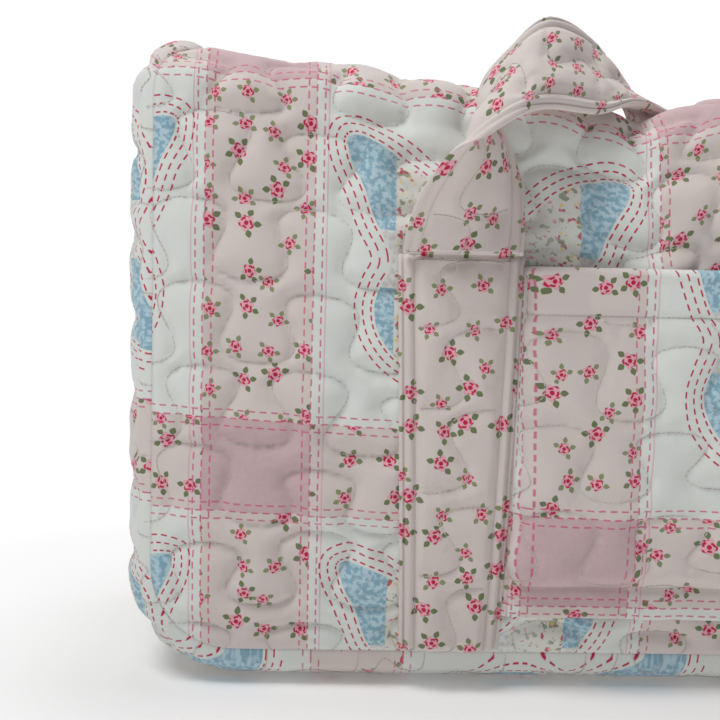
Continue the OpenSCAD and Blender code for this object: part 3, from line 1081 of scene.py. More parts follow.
@dataclass(frozen=True)
class BagShape:
    """Sizes of the bag in millimetres and the surfaces they give.

    Args:
        half_w, half_d: half the width and depth between seams.
        corner_h: height of the top corners.
        crest_sag, crest_soft: how far the top edge sags, and how round the bottom of the sag is.
        wall_t: thickness of the quilted wall.
        panel_crown, side_bulge, base_drop: how far the panels, the ends and the base swell.
        corner_r: radius of a panel's lower corners.
        roll_r: radius of the rolled top edge.
        well_x, well_y: half length and half depth of the well inside the rolled edge.
        face_len: length of a panel's flat cloth from its foot to the roll.
        strap_x, strap_low_half, strap_top_half, strap_end_z: middle, half widths and top of a strap.
        pocket_low, pocket_top: heights of the pocket's foot and mouth.
        hinge_y: how far out the handles hinge.
    """

    half_w: float = 250.0
    half_d: float = 98.0
    corner_h: float = 335.0
    crest_sag: float = 33.0
    crest_soft: float = 0.02
    wall_t: float = 6.0
    panel_crown: float = 13.0
    side_bulge: float = 15.0
    base_drop: float = 21.0
    corner_r: float = 45.0
    roll_r: float = 25.0
    well_x: float = 216.0
    well_y: float = 48.0
    face_len: float = 289.0
    strap_x: float = 92.5
    strap_low_half: float = 26.0
    strap_top_half: float = 32.0
    strap_end_z: float = 231.0
    pocket_low: float = 44.0
    pocket_top: float = 226.0
    hinge_y: float = 118.5

    def rise(self, s: Grid) -> Grid:
        """How the crest climbs from its middle to a corner."""
        return np.sqrt(np.sqrt(s * s + self.crest_soft ** 2)) - math.sqrt(self.crest_soft)

    def roll_z(self, s: Grid) -> Grid:
        """Height of the middle of the rolled edge."""
        full = self.rise(np.array(1.0))
        return self.corner_h - self.roll_r - self.crest_sag * (1 - self.rise(s) / full)

    def face_y(self, x: Grid, z: Grid) -> Grid:
        """The front face at a height."""
        v = (z - self.base_drop) / (self.roll_z(x / self.half_w) - self.base_drop)
        return -(self.half_d + self.crown(x, v))

    def crown(self, x: Grid, v: Grid) -> Grid:
        """How far a panel swells."""
        return self.panel_crown * (1 - (x / self.half_w) ** 4) * (1 - np.abs(2 * v - 1) ** 3)

    def roll_half(self, phi: Grid) -> Grid:
        """Half width of the roll at an angle over it."""
        return self.well_x + (self.half_w - self.well_x) * (1 + np.cos(phi)) / 2

    def strap_half(self, z: Grid) -> Grid:
        """Half width of a strap at a height."""
        span = self.strap_top_half - self.strap_low_half
        return self.strap_low_half + span * (z - self.base_drop) / (self.pocket_top - self.base_drop)

    def covered(self, flat: Grid, pocket: bool) -> Grid:
        """Tells where straps and pocket lie on a panel.

        Args:
            flat: flat places on the panel.
            pocket: whether this panel has the pocket.

        Returns:
            1 under a strap, 0.9 under the pocket and 0 elsewhere, with soft edges.
        """
        x, v = np.abs(flat[..., 0]), flat[..., 1]
        z = self.base_drop + v / self.face_len * (self.roll_z(flat[..., 0] / self.half_w) - self.base_drop)
        half = self.strap_half(z)
        on_strap = ease((half + 1.5 - np.abs(x - self.strap_x)) / 4) * ease((self.strap_end_z + 2 - z) / 4)
        if not pocket:
            return on_strap
        within = ease((self.strap_x - half - x + 4) / 4) * ease((self.pocket_top - 4 - z) / 8)
        return np.maximum(on_strap, 0.9 * within * ease((z - self.pocket_low) / 4))


SHAPE = BagShape()


def panel_grid(depth: float, cols: int, step: float) -> tuple[Grid, Grid, Grid]:
    """Points of the front panel at a depth under its outer face.

    Args:
        depth: depth in millimetres.
        cols: columns of points.
        step: distance between rows.

    Returns:
        The points, their flat places and the distance from the panel's side seams.
    """
    g = SHAPE
    tall = float(g.roll_z(np.array(1.0))) - g.base_drop
    turn = np.linspace(0, math.pi / 2, int(1.57 * g.corner_r / step))
    share = g.corner_r / tall
    low = np.stack([share * (1 - np.cos(turn)), g.half_w - g.corner_r * (1 - np.sin(turn))], -1)
    v = np.linspace(share, 1, int(tall * (1 - share) / step) + 1)[1:]
    rows = np.concatenate([low, np.stack([v, np.full_like(v, g.half_w)], -1)])
    s = np.linspace(-1, 1, cols)[None, :]
    v, wide = rows[:, :1], rows[:, 1:]
    foot = g.base_drop + depth
    face = np.stack([s * (wide - depth), depth - g.half_d - g.crown(s * wide, v),
                     foot + v * (g.roll_z(s) - foot)], -1)
    phi = np.linspace(0, math.pi, int(math.pi * g.roll_r / step) + 1)[1:, None]
    half = g.roll_half(phi)
    out = g.roll_r - g.half_d - (g.roll_r - depth) * np.cos(phi)
    roll = np.stack([s * (half - depth * np.cos(phi)), out + 0 * s,
                     g.roll_z(s) + (g.roll_r - depth) * np.sin(phi)], -1)
    flat_face = np.stack([s * wide, v * g.face_len + 0 * s], -1)
    flat_roll = np.stack([s * half, g.face_len + g.roll_r * phi + 0 * s], -1)
    flat = np.concatenate([flat_face, flat_roll])
    halves = np.concatenate([wide + 0 * s, half + 0 * s])
    side = halves - np.abs(flat[..., 0])
    return np.concatenate([face, roll]), flat, np.minimum(side, flat[..., 1] + 1)


def gusset_grid(depth: float, cols: int, step: float) -> tuple[Grid, Grid, Grid]:
    """Points of the strip down one side, along the base and up the other side.

    Args:
        depth: depth in millimetres under the outer face.
        cols: columns across the strip.
        step: distance between stations.

    Returns:
        The points, their flat places and the distance from the strip's seams.
    """
    g = SHAPE
    top = float(g.roll_z(np.array(1.0)))
    phi = np.linspace(math.pi, 0, int(math.pi * g.roll_r / step))
    mix = (1 + np.cos(phi)) / 2
    roll = np.stack([-g.roll_half(phi), top + g.roll_r * np.sin(phi), -np.cos(phi), np.sin(phi),
                     g.roll_r * np.cos(phi), g.side_bulge * mix ** 2, np.ones_like(phi)], -1)
    z = np.linspace(top, g.base_drop + g.corner_r, int((top - g.base_drop) / step))[1:]
    one = np.ones_like(z)
    side = np.stack([-g.half_w * one, z, -one, 0 * z, g.roll_r * one, g.side_bulge * one, one], -1)
    b = np.linspace(0, math.pi / 2, int(1.57 * g.corner_r / step))[1:]
    share = b / (math.pi / 2)
    corner = np.stack([-g.half_w + g.corner_r * (1 - np.cos(b)), g.base_drop + g.corner_r * (1 - np.sin(b)),
                       -np.cos(b), -np.sin(b), g.roll_r + 0 * b,
                       g.side_bulge + (g.base_drop - g.side_bulge) * share, 1 + 0.15 * share], -1)
    x = np.linspace(-g.half_w + g.corner_r, 0, int((g.half_w - g.corner_r) / step))[1:]
    base = np.stack([x, g.base_drop + 0 * x, 0 * x, -1 + 0 * x, g.roll_r + 0 * x, g.base_drop + 0 * x,
                     1.15 + 0 * x], -1)
    left = np.concatenate([roll, side, corner, base])
    right = (left * (-1, 1, -1, 1, 1, 1, 1))[-2::-1]
    stations = np.concatenate([left, right])
    c = np.sin(np.linspace(-1, 1, cols) * math.pi / 2)[None, :]
    bulge = stations[:, 5:6] * np.minimum(1, stations[:, 6:7] * np.sqrt(np.maximum(0, 1 - c ** 4))) - depth
    reach = g.half_d - g.roll_r + stations[:, 4:5] * (g.roll_r - depth) / g.roll_r
    points = np.stack([stations[:, 0:1] + stations[:, 2:3] * bulge, c * reach,
                       stations[:, 1:2] + stations[:, 3:4] * bulge], -1)
    middle = points[:, cols // 2]
    along = np.concatenate([[0], np.cumsum(np.linalg.norm(np.diff(middle, axis=0), axis=1))])[:, None]
    flat = np.stack([c * 100 + 0 * along, along + 0 * c], -1)
    return points, flat, 100 - np.abs(flat[..., 0])


def edge_profile(away: Grid) -> Grid:
    """Height of a padded strap at a distance from its edge, with a rolled edge and a stitched groove."""
    return np.interp(away, [0, 0.6, 1.6, 2.6, 3.2, 4.4, 6, 7.4, 8, 9, 12, 18],
                     [0.6, 2.4, 3.2, 2.0, 3.4, 5.6, 5.6, 4.6, 3.7, 4.9, 6.9, 7.6])


def strap_columns(half: Grid) -> Grid:
    """Spaces mesh columns across a strap, closer together near its edges.

    Args:
        half: half width of the strap at each row.

    Returns:
        A row of places across for each half width.
    """
    near = np.array([0, 0.6, 1.1, 1.6, 2.1, 2.6, 3.2, 3.8, 4.4, 5.2, 6, 6.8, 7.4, 8, 8.6, 9.5, 11])
    inner = np.linspace(0, 1, 26)[1:-1]
    half = np.atleast_1d(half)[:, None]
    middle = -(half - 11) + inner[None, :] * 2 * (half - 11)
    return np.concatenate([near[None, :] - half, middle, (half - near[None, :])[:, ::-1]], 1)


# ---- Pieces ----------------------------------------------------------------------------------


def settle(piece: bpy.types.Object, body: str, finish: Finish, *nodes: str) -> bpy.types.Object:
    """Hangs a finished piece on its body and lets it stand for CAD nodes.

    Args:
        piece: the object.
        body: the body it rides on.
        finish: not used.
        nodes: the nodes it replaces.

    Returns:
        The same object.
    """
    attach(piece, body)
    if nodes:
        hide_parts(*nodes)
    LOG.info("%s: %d faces on %s", piece.name, len(piece.data.polygons), body)
    return piece


@dataclass
class Workshop:
    """Materials that the pieces share.

    Args:
        cloth: the material of each finish.
        thread: the quilting thread.
    """

    cloth: dict[Finish, bpy.types.Material]
    thread: bpy.types.Material


@dataclass
class Shell:
    """Front and back panels and the gusset, quilted and printed.

    Args:
        shop: the shared materials.
        cell: distance between mesh points.
        sink: how deep the quilting lines lie.
        seam_dip: how deep the seams lie.
        fold: height of the soft folds.
        print_origin: where a column and a band of the print cross on a panel.
        gusset_origin: where they cross on the gusset.
    """

    shop: Workshop
    cell: float = 2.15
    sink: float = 2.8
    seam_dip: float = 1.2
    fold: float = 1.6
    print_origin: tuple[float, float] = (37.0, 101.0)
    gusset_origin: tuple[float, float] = (81.0, 40.0)

    def build(self) -> None:
        """Makes both panels and the gusset."""
        self.panel("front", False)
        self.panel("back", True)
        self.gusset()

    def relief(self, quilt: Quilting, flat: Grid, edge: Grid, free: Grid, seed: int, reach: float) -> Grid:
        """Raises the cloth of a panel or the gusset.

        Args:
            quilt: its quilting.
            flat: its flat places.
            edge: distance from its seams.
            free: 1 where the cloth may rise, 0 where something holds it flat.
            seed: picks its folds.
            reach: distance from a seam at which the folds are full.

        Returns:
            The height at each place.
        """
        height = (quilt.relief(flat) - self.sink) * ease((edge - 1) / 13) * free
        height = height - self.seam_dip * (1 - ease(edge / 5))
        return height + self.fold * wrinkles(flat, seed) * ease(edge / reach) * free

    def panel(self, side: str, turned: bool) -> None:
        """Makes one panel with its quilting stitches.

        Args:
            side: front or back.
            turned: whether it is turned round to the back.
        """
        g = SHAPE
        cols = int(2 * g.half_w / self.cell)
        outer, flat, edge = panel_grid(0.3, cols, self.cell)
        inner = panel_grid(g.wall_t, cols, self.cell)[0]
        quilt = Quilting((-g.half_w, 0), (g.half_w, float(flat[..., 1].max())), 21 if turned else 11)
        free = 1 - g.covered(flat, not turned)
        relief = self.relief(quilt, flat, edge, free, 31 if turned else 32, 60)
        outer = outer + grid_normals(outer) * relief[..., None]
        if turned:
            outer, inner = outer * (-1, -1, 1), inner * (-1, -1, 1)
        cloth = slab_piece(f"cloth_{side}_panel", outer, inner, print_attributes(flat, self.print_origin),
                           self.shop.cloth[Finish.PRINT])
        settle(cloth, "bag", Finish.PRINT, f"{side}_panel")
        sewing = Sewing(outer, flat)
        for line in quilt.lines:
            sewing.sew(line, g.covered(line, not turned) > 0.4)
        settle(sewing.finish(f"stitches_{side}_panel", self.shop.thread), "bag", Finish.PRINT)

    def gusset(self) -> None:
        """Makes the strip that forms the sides and the base."""
        g = SHAPE
        outer, flat, edge = gusset_grid(0.3, 70, 3.0)
        inner = gusset_grid(g.wall_t, 70, 3.0)[0]
        quilt = Quilting((-100, 0), (100, float(flat[..., 1].max())), 41)
        lifted = ease(outer[..., 2] / 22)
        relief = self.relief(quilt, flat, edge, lifted, 33, 50)
        outer = outer + grid_normals(outer) * relief[..., None]
        outer[..., 2] = np.maximum(outer[..., 2], 0.0)
        cloth = slab_piece("cloth_gusset", outer, inner, print_attributes(flat, self.gusset_origin),
                           self.shop.cloth[Finish.PRINT])
        settle(cloth, "bag", Finish.PRINT, "gusset")
        sewing = Sewing(outer, flat)
        for line in quilt.lines:
            sewing.sew(line)
        settle(sewing.finish("stitches_gusset", self.shop.thread), "bag", Finish.PRINT)


@dataclass
class Pocket:
    """The patch pocket between the front straps.

    Args:
        shop: the shared materials.
        hem: height of its hem.
        flange: height of the part sewn down at its foot.
        slack: how far it stands off the panel.
        thick: its thickness.
        print_origin: where a column and a band of the print cross on it.
    """

    shop: Workshop
    hem: float = 24.0
    flange: float = 19.0
    slack: float = 8.0
    thick: float = 5.0
    print_origin: tuple[float, float] = (-29.0, 76.0)

    def build(self) -> None:
        """Makes the pocket, its hem and its stitches."""
        g = SHAPE
        height = g.pocket_top - g.pocket_low
        h = np.arange(0, height + 0.1, 2.0)[:, None]
        c = np.linspace(-1, 1, 66)[None, :]
        z = g.pocket_low + h + 0 * c
        half = g.strap_x - g.strap_half(z) + 1.5
        x = c * half
        gap = self.slack * ease(((1 - np.abs(c)) * half - 4) / 8) * ease((h - self.flange) / 10)
        base = np.stack([x, g.face_y(x, z) - 0.4 - gap, z], -1)
        flat = np.stack([x, z], -1)
        quilt = Quilting((-70, g.pocket_low), (70, g.pocket_top), 57, puff=3.8)
        groove_low = np.exp(-((h - self.flange + 1) / 1.6) ** 2)
        groove_top = np.exp(-((h - height + self.hem) / 1.6) ** 2)
        rim = ease((height - h) / 1.5) * ease((h + 0.4) / 1.6)
        body = ease((h - self.flange) / 8) * ease((height - self.hem - h) / 6)
        relief = self.thick * (0.45 + 0.55 * rim) + (quilt.relief(flat) - 1.9) * (0.25 + 0.75 * body)
        relief += 1.5 * wrinkles(flat, 61, 10, 30, 90) * (0.3 + 0.7 * body) - 1.9 * (groove_low + groove_top)
        relief += 1.6 * np.exp(-((height - h - 3.5) / 2.6) ** 2)
        side = (1 - np.abs(c)) * half
        relief = 0.9 + (relief - 0.9) * (0.12 + 0.88 * ease((side - 1.5) / 5))
        normal = grid_normals(base)
        outer = base + normal * np.maximum(relief, 0.8)[..., None]
        cloth = slab_piece("cloth_front_pocket", outer, base, print_attributes(flat, self.print_origin),
                           self.shop.cloth[Finish.PRINT])
        settle(cloth, "bag", Finish.PRINT, "front_pocket")
        sewing = Sewing(outer, flat)
        shut = g.pocket_low + self.flange, g.pocket_top - self.hem
        for line in quilt.lines:
            sewing.sew(line, (line[:, 1] < shut[0] + 2) | (line[:, 1] > shut[1] - 2))
        across = np.arange(-60, 60, 0.8)
        for level in (shut[0] - 1, shut[1]):
            sewing.sew(np.stack([across, level + 0 * across], -1))
        settle(sewing.finish("stitches_front_pocket", self.shop.thread), "bag", Finish.PRINT)


@dataclass
class Straps:
    """The four padded straps sewn down over the panels.

    Args:
        shop: the shared materials.
        start_z: height of their lower ends.
    """

    shop: Workshop
    start_z: float = 24.0

    def build(self) -> None:
        """Makes each strap from the front left one."""
        for name, turn, seed in (("front_left", (1, 1, 1), 71), ("front_right", (-1, 1, 1), 72),
                                 ("back_left", (1, -1, 1), 73), ("back_right", (-1, -1, 1), 74)):
            self.strap(name, np.array(turn), seed)

    def strap(self, name: str, turn: Grid, seed: int) -> None:
        """Makes one strap.

        Args:
            name: where it lies.
            turn: signs that mirror it into place.
            seed: picks its quilting.
        """
        g = SHAPE
        z = np.arange(self.start_z, g.strap_end_z + 0.1, 1.8)
        across = strap_columns(g.strap_half(z))
        z = z[:, None] + 0 * across
        x = across - g.strap_x
        base = np.stack([x, g.face_y(x, z) - 0.3, z], -1)
        flat = np.stack([across, z], -1)
        edge = g.strap_half(z) - np.abs(across)
        quilt = Quilting((-34, 0), (34, 235), seed, puff=3.6)
        ends = ease((g.strap_end_z - z + 0.3) / 3) * ease((z - self.start_z + 1) / 4)
        relief = edge_profile(edge) * (0.35 + 0.65 * ends)
        relief += (quilt.relief(flat) - 2.0) * ease((edge - 8.5) / 4) * ends
        relief += 0.8 * wrinkles(flat, seed, 10, 25, 70) * ease((edge - 8.5) / 6)
        outer = base + grid_normals(base) * np.maximum(relief, 0.5)[..., None]
        outer, base = outer * turn, base * turn
        if turn.prod() < 0:
            outer, base, flat = outer[:, ::-1], base[:, ::-1], flat[:, ::-1]
        cloth = slab_piece(f"cloth_strap_{name}", outer, base, {"flat_mm": flat + seed * 31.0},
                           self.shop.cloth[Finish.FLORAL])
        settle(cloth, "bag", Finish.FLORAL, f"strap_{name}")
        sewing = Sewing(outer, flat)
        for line in quilt.lines:
            half = g.strap_half(np.clip(line[:, 1], g.base_drop, g.pocket_top))
            sewing.sew(line, np.abs(line[:, 0]) > half - 11)
        up = np.arange(self.start_z + 1, g.strap_end_z - 1, 0.8)
        for side in (-1, 1):
            sewing.sew(np.stack([side * (g.strap_half(up) - 8), up], -1))
        wide = np.arange(-24, 24, 0.8)
        sewing.sew(np.stack([wide, g.strap_end_z - 3.5 + 0 * wide], -1))
        settle(sewing.finish(f"stitches_strap_{name}", self.shop.thread), "bag", Finish.FLORAL)


def smooth_line(points: list[Place], steps: int) -> Grid:
    """Draws a smooth open curve through points.

    Args:
        points: the points.
        steps: places between two points.

    Returns:
        The curve's points.
    """
    p = np.array(points, float)
    last = len(p) - 1
    line = []
    for i in range(last):
        line += bend_between(p[max(0, i - 1)], p[i], p[i + 1], p[min(last, i + 2)], steps)
    return np.array(line + [p[-1]])


# Middles of the front handle and the directions of its outer edge, from the left leg to the right
FRONT_MIDS: list[Place] = [
    (-92.5, -118.5, 231.5), (-92.5, -118.5, 235), (-90, -124, 258.5), (-86, -128.5, 281), (-86, -129.5, 300),
    (-70, -126, 317), (-53, -114, 327), (-27, -92, 325), (-1, -62, 318), (24, -26, 306), (51, -12, 296),
    (75, -53, 333), (88, -92, 339), (94, -115, 330), (97, -127, 308), (95, -127, 283), (93, -121, 258),
    (92.5, -118.5, 235), (92.5, -118.5, 231.5)]
FRONT_EDGES: list[Place] = [
    (-1, 0, 0), (-1, 0, 0), (-0.91, -0.41, -0.05), (-0.58, -0.8, -0.1), (-0.1, -0.86, -0.45),
    (-0.06, -0.73, -0.67), (-0.06, -0.56, -0.83), (-0.03, -0.66, -0.75), (-0.1, -0.93, -0.25),
    (0, -0.97, 0.15), (-0.1, -0.97, 0.1), (-0.4, -0.9, -0.1), (-0.1, -0.6, -0.8), (0, -0.85, -0.5),
    (0.3, -0.9, 0), (0.7, -0.7, 0), (0.95, -0.3, 0), (1, 0, 0), (1, 0, 0)]


@dataclass
class Handles:
    """The two padded carrying handles.

    Args:
        shop: the shared materials.
        half: half their width.
        hang_r: radius of the hanging back handle's corners.
        hang_z: height at which those corners start.
    """

    shop: Workshop
    half: float = 30.0
    hang_r: float = 50.0
    hang_z: float = 155.0

    def build(self) -> None:
        """Makes both handles."""
        self.handle("handle_front", FRONT_MIDS, FRONT_EDGES, 81)
        self.handle("handle_back", *self.hanging(), 82)

    def hanging(self) -> tuple[list[Place], list[Place]]:
        """Draws the back handle as it hangs from its seams.

        Returns:
            Middles along it, and the directions of its outer edge.
        """
        g = SHAPE
        out = g.hinge_y + 11.5
        mids = [(-g.strap_x, g.hinge_y - 3, 236.5), (-g.strap_x, g.hinge_y, 235),
                (-g.strap_x, g.hinge_y + 7.5, 228), (-g.strap_x, out, 211), (-g.strap_x, out, 185)]
        edges = [(-1, 0, 0)] * len(mids)
        for turn in (0, 30, 60, 90):
            a = math.radians(turn)
            across = -g.strap_x + self.hang_r * (1 - math.cos(a))
            mids.append((across, out, self.hang_z - self.hang_r * math.sin(a)))
            edges.append((-math.cos(a), 0, -math.sin(a)))
        mids.append((0, out, self.hang_z - self.hang_r))
        edges.append((0, 0, -1))
        mids += [(-x, y, z) for x, y, z in mids[-2::-1]]
        edges += [(-x, y, z) for x, y, z in edges[-2::-1]]
        return mids, edges

    def handle(self, name: str, mids: list[Place], edges: list[Place], seed: int) -> None:
        """Makes one handle as a padded band along a line.

        Args:
            name: the body and node it stands for.
            mids: middles along the band.
            edges: directions across the band.
            seed: picks its quilting.
        """
        mid = smooth_line(mids, 14)
        wide = unit_rows(smooth_line(edges, 14))
        along = np.gradient(mid, axis=0)
        thick = unit_rows(np.cross(along, wide * self.half))
        length = np.concatenate([[0], np.cumsum(np.linalg.norm(np.diff(mid, axis=0), axis=1))])
        across = strap_columns(np.full(len(mid), self.half))
        edge = self.half - np.abs(across)
        flat = np.stack([across, length[:, None] + 0 * across], -1)
        quilt = Quilting((-34, 0), (34, float(length[-1])), seed, puff=2.6)
        sheet = mid[:, None] + across[..., None] * wide[:, None]
        run = length[:, None]
        ends = ease((run + 0.5) / 3) * ease((run[-1] - run + 0.5) / 3)
        swell = edge_profile(edge) * 0.56 * (0.4 + 0.6 * ends)
        detail = (quilt.relief(flat) - 1.5) * ease((edge - 8.5) / 4) * ends
        fold = 0.7 * wrinkles(flat, seed, 10, 20, 60) * ease((edge - 8.5) / 6) * ends
        top = sheet - thick[:, None] * np.maximum(swell + detail + fold, 0.3)[..., None]
        low = sheet + thick[:, None] * np.maximum(swell + 0.6 * detail - fold, 0.3)[..., None]
        cloth = slab_piece(f"cloth_{name}", top, low, {"flat_mm": flat + seed * 31.0},
                           self.shop.cloth[Finish.FLORAL])
        self.hinge(cloth, name)
        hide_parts(name)
        for tag, surface, place in (("outer", top, flat), ("inner", low[:, ::-1], flat[:, ::-1])):
            sewing = Sewing(surface, place)
            up = np.arange(1, float(length[-1]) - 1, 0.8)
            for side in (-1, 1):
                sewing.sew(np.stack([side * (self.half - 8) + 0 * up, up], -1))
            for line in quilt.lines:
                sewing.sew(line, np.abs(line[:, 0]) > self.half - 11)
            self.hinge(sewing.finish(f"stitches_{name}_{tag}", self.shop.thread), name)

    def hinge(self, piece: bpy.types.Object, body: str) -> None:
        """Bakes a piece of a handle into world space and logs its face count.

        Args:
            piece: the object.
            body: the handle's body.
        """
        body == "handle_front"
        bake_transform(piece)
        LOG.info("%s: %d faces bend between bag and %s", piece.name, len(piece.data.polygons), body)


def plate(name: str, top: Grid, thick: float, flat: Grid, finish: bpy.types.Material, seed: int,
          wave: float = 0.4) -> bpy.types.Object:
    """Makes a thin cloth plate that undulates a little.

    Args:
        name: the piece's name.
        top: grid of points on its outer face.
        thick: its thickness.
        flat: grid of flat places.
        finish: its material.
        seed: picks its undulation.
        wave: how far it undulates.

    Returns:
        The object.
    """
    normal = grid_normals(top)
    rim = np.ones(top.shape[:2])
    for axis in (0, 1):
        n = top.shape[axis]
        shape = [1, 1]
        shape[axis] = n
        count = np.minimum(np.arange(n), np.arange(n)[::-1]).reshape(shape)
        rim = rim * ease((count + 0.6) / 2.2)
    relief = wave * wrinkles(flat, seed, 10, 14, 60) * rim - 0.5 * thick * (1 - rim)
    outer = top + normal * relief[..., None]
    inner = top - normal * (thick * (0.5 + 0.5 * rim))[..., None]
    return slab_piece(name, outer, inner, {"flat_mm": flat}, finish)


def spread(a: Grid, b: Grid, c: Grid, step: float) -> tuple[Grid, Grid]:
    """A flat grid from corner a, with rows towards c and columns towards b.

    Args:
        a: first corner.
        b: the corner at the end of the first row.
        c: the corner at the end of the first column.
        step: distance between points.

    Returns:
        The points and their flat places.
    """
    a, b, c = (np.array(p, float) for p in (a, b, c))
    wide, tall = np.linalg.norm(b - a), np.linalg.norm(c - a)
    u = np.linspace(0, 1, max(3, int(wide / step) + 1))[None, :, None]
    v = np.linspace(0, 1, max(3, int(tall / step) + 1))[:, None, None]
    points = a + (b - a) * u + (c - a) * v
    flat = np.concatenate([u * wide + 0 * v, v * tall + 0 * u], -1)
    return points, flat


@dataclass
class Mouth:
    """Facings round the top, the zip flaps, tapes, coils and end tabs.

    Args:
        shop: the shared materials.
        floor_z: height of the facings' lower edge.
        flap_z, flap_half, flap_out, flap_in: the flaps' height, half length, outer and inner edge.
        tape_z, tape_out, tape_in: the tapes' height, outer and inner edge.
        coil_y, coil_z: place of the coils.
        tab_in, tab_slot, tab_out: where an end tab starts, where its slot ends and where it ends.
        end_len: length of the tapes past the flaps.
    """

    shop: Workshop
    floor_z: float = 259.0
    flap_z: float = 262.1
    flap_half: float = 171.0
    flap_out: float = 46.3
    flap_in: float = 9.0
    tape_z: float = 259.2
    tape_out: float = 15.5
    tape_in: float = 1.6
    coil_y: float = 2.9
    coil_z: float = 260.5
    tab_in: float = 172.0
    tab_slot: float = 202.0
    tab_out: float = 215.6
    end_len: float = 32.0

    def build(self) -> None:
        """Makes every cloth piece of the mouth, and the coils."""
        self.facings()
        self.flaps()
        self.coils()

    def facings(self) -> None:
        """Lines the inside of the rolled edge."""
        g = SHAPE
        for side, turn in (("front", 1), ("back", -1)):
            x = np.linspace(g.well_x - 0.4, 0.4 - g.well_x, 150)[None, :]
            share = np.linspace(0, 1, 24)[:, None]
            top = g.roll_z(x / g.well_x) - 0.4
            z = self.floor_z + share * (top - self.floor_z)
            points = np.stack([x + 0 * z, 0 * z - g.well_y, z], -1) * (turn, turn, 1)
            flat = np.stack([x + 0 * z, z], -1)
            made = plate(f"cloth_facing_{side}", points, 2.6, flat, self.shop.cloth[Finish.FLORAL], 91 + turn)
            settle(made, "bag", Finish.FLORAL, f"facing_{side}")
        high = float(g.roll_z(np.array(1.0))) - 0.4
        for side, turn in (("left", -1), ("right", 1)):
            y = 47.6 * turn
            points, flat = spread((turn * g.well_x, -y, self.floor_z), (turn * g.well_x, y, self.floor_z),
                                  (turn * g.well_x, -y, high), 3.0)
            points = points[:, ::-1]
            made = plate(f"cloth_facing_{side}", points, 2.6, flat, self.shop.cloth[Finish.FLORAL], 95 + turn)
            settle(made, "bag", Finish.FLORAL, f"facing_{side}")

    def flaps(self) -> None:
        """Makes the flaps, tabs and tapes."""
        for side, turn in (("front", 1), ("back", -1)):
            self.strip(f"zip_flap_{side}", f"flap_{side}", Finish.PINK, (self.flap_out, self.flap_in),
                       self.flap_z, turn)
            self.strip(f"zip_tape_{side}", f"flap_{side}", Finish.TAPE, (self.tape_out, self.tape_in),
                       self.tape_z, turn)
        for side, turn in (("left", -1), ("right", 1)):
            self.tab(side, turn)

    def strip(self, node: str, body: str, finish: Finish, span: tuple[float, float], z: float,
              turn: int) -> None:
        """Makes one long strip beside the zip, a flap or a tape.

        Args:
            node: the CAD node it stands for.
            body: the body it rides on.
            finish: its cloth.
            span: its outer and inner edge, as distances from the zip's middle.
            z: its height.
            turn: 1 in front of the zip, -1 behind it.
        """
        f = self.flap_half * turn
        flap = finish is Finish.PINK
        out, near = -span[0] * turn, -span[1] * turn
        points, flat = spread((-f, out, z), (f, out, z), (-f, near, z), 2.5 if flap else 2.0)
        thick, seed, wave = (2.5, 101, 0.25) if flap else (0.8, 105, 0.05)
        made = plate(f"cloth_{node}", points, thick, flat, self.shop.cloth[finish], seed + turn, wave)
        settle(made, body, finish, node)
        wide = round((span[0] - span[1]) * MM, 4)

    def tab(self, side: str, turn: int) -> None:
        """Makes the U-shaped tab and the tapes under it at one end.

        Args:
            side: left or right.
            turn: -1 at the left, 1 at the right.
        """
        rims = ((-self.flap_out, -self.flap_in), (self.flap_in, self.flap_out))
        spans = [(low, high, self.tab_in, self.tab_slot) for low, high in rims]
        spans.append((-self.flap_out, self.flap_out, self.tab_slot, self.tab_out))
        strips = []
        for i, (low, high, near, far) in enumerate(spans):
            points, flat = spread((near, low, self.flap_z), (far, low, self.flap_z),
                                  (near, high, self.flap_z), 2.5)
            strips.append(plate(f"strip_{side}_{i}", points * (turn, turn, 1), 2.5, flat + (near, low),
                                self.shop.cloth[Finish.PINK], 111 + i, 0.2))
        made = join_pieces(f"cloth_zip_tab_{side}", strips)
        settle(made, "bag", Finish.PINK, f"zip_tab_{side}")
        tapes = []
        for low, high in ((-self.tape_out, -self.tape_in), (self.tape_in, self.tape_out)):
            points, flat = spread((self.tab_in, low, self.tape_z),
                                  (self.tab_in + self.end_len, low, self.tape_z),
                                  (self.tab_in, high, self.tape_z), 2.0)
            tapes.append(plate("tape", points * (turn, turn, 1), 0.8, flat,
                               self.shop.cloth[Finish.TAPE], 121, 0.05))
        made = join_pieces(f"cloth_zip_end_{side}", tapes)
        settle(made, "bag", Finish.TAPE, f"zip_end_{side}")

    def coils(self) -> None:
        """Makes the coil teeth along each tape."""
        nylon = self.shop.cloth[Finish.COIL]
        z, f = self.coil_z, self.flap_half - 1
        for side, y in (("front", -self.coil_y), ("back", self.coil_y)):
            line = np.array([(-f, y, z), (f, y, z)])
            teeth = grow(f"teeth_{side}", COIL_TEETH, line, [(0, 1)], Nylon=nylon)
            settle(teeth, f"flap_{side}", Finish.COIL, f"zip_coil_{side}")
        near, far = self.tab_in + 1, self.tab_in + 23
        ends = [(turn * x, y, z) for turn in (-1, 1) for y in (-self.coil_y, self.coil_y)
                for x in (near, far)]
        pairs = [(0, 1), (2, 3), (4, 5), (6, 7)]
        settle(grow("teeth_ends", COIL_TEETH, np.array(ends), pairs, Nylon=nylon), "bag", Finish.COIL)


def join_pieces(name: str, parts: list[bpy.types.Object]) -> bpy.types.Object:
    """Joins plain mesh objects into one.

    Args:
        name: the joined piece's name.
        parts: the objects.

    Returns:
        The joined object.
    """
    bpy.ops.object.select_all(action="DESELECT")
    for part in parts:
        part.select_set(True)
    bpy.context.view_layer.objects.active = parts[0]
    bpy.ops.object.join()
    parts[0].name = name
    parts[0].data.name = name
    return parts[0]


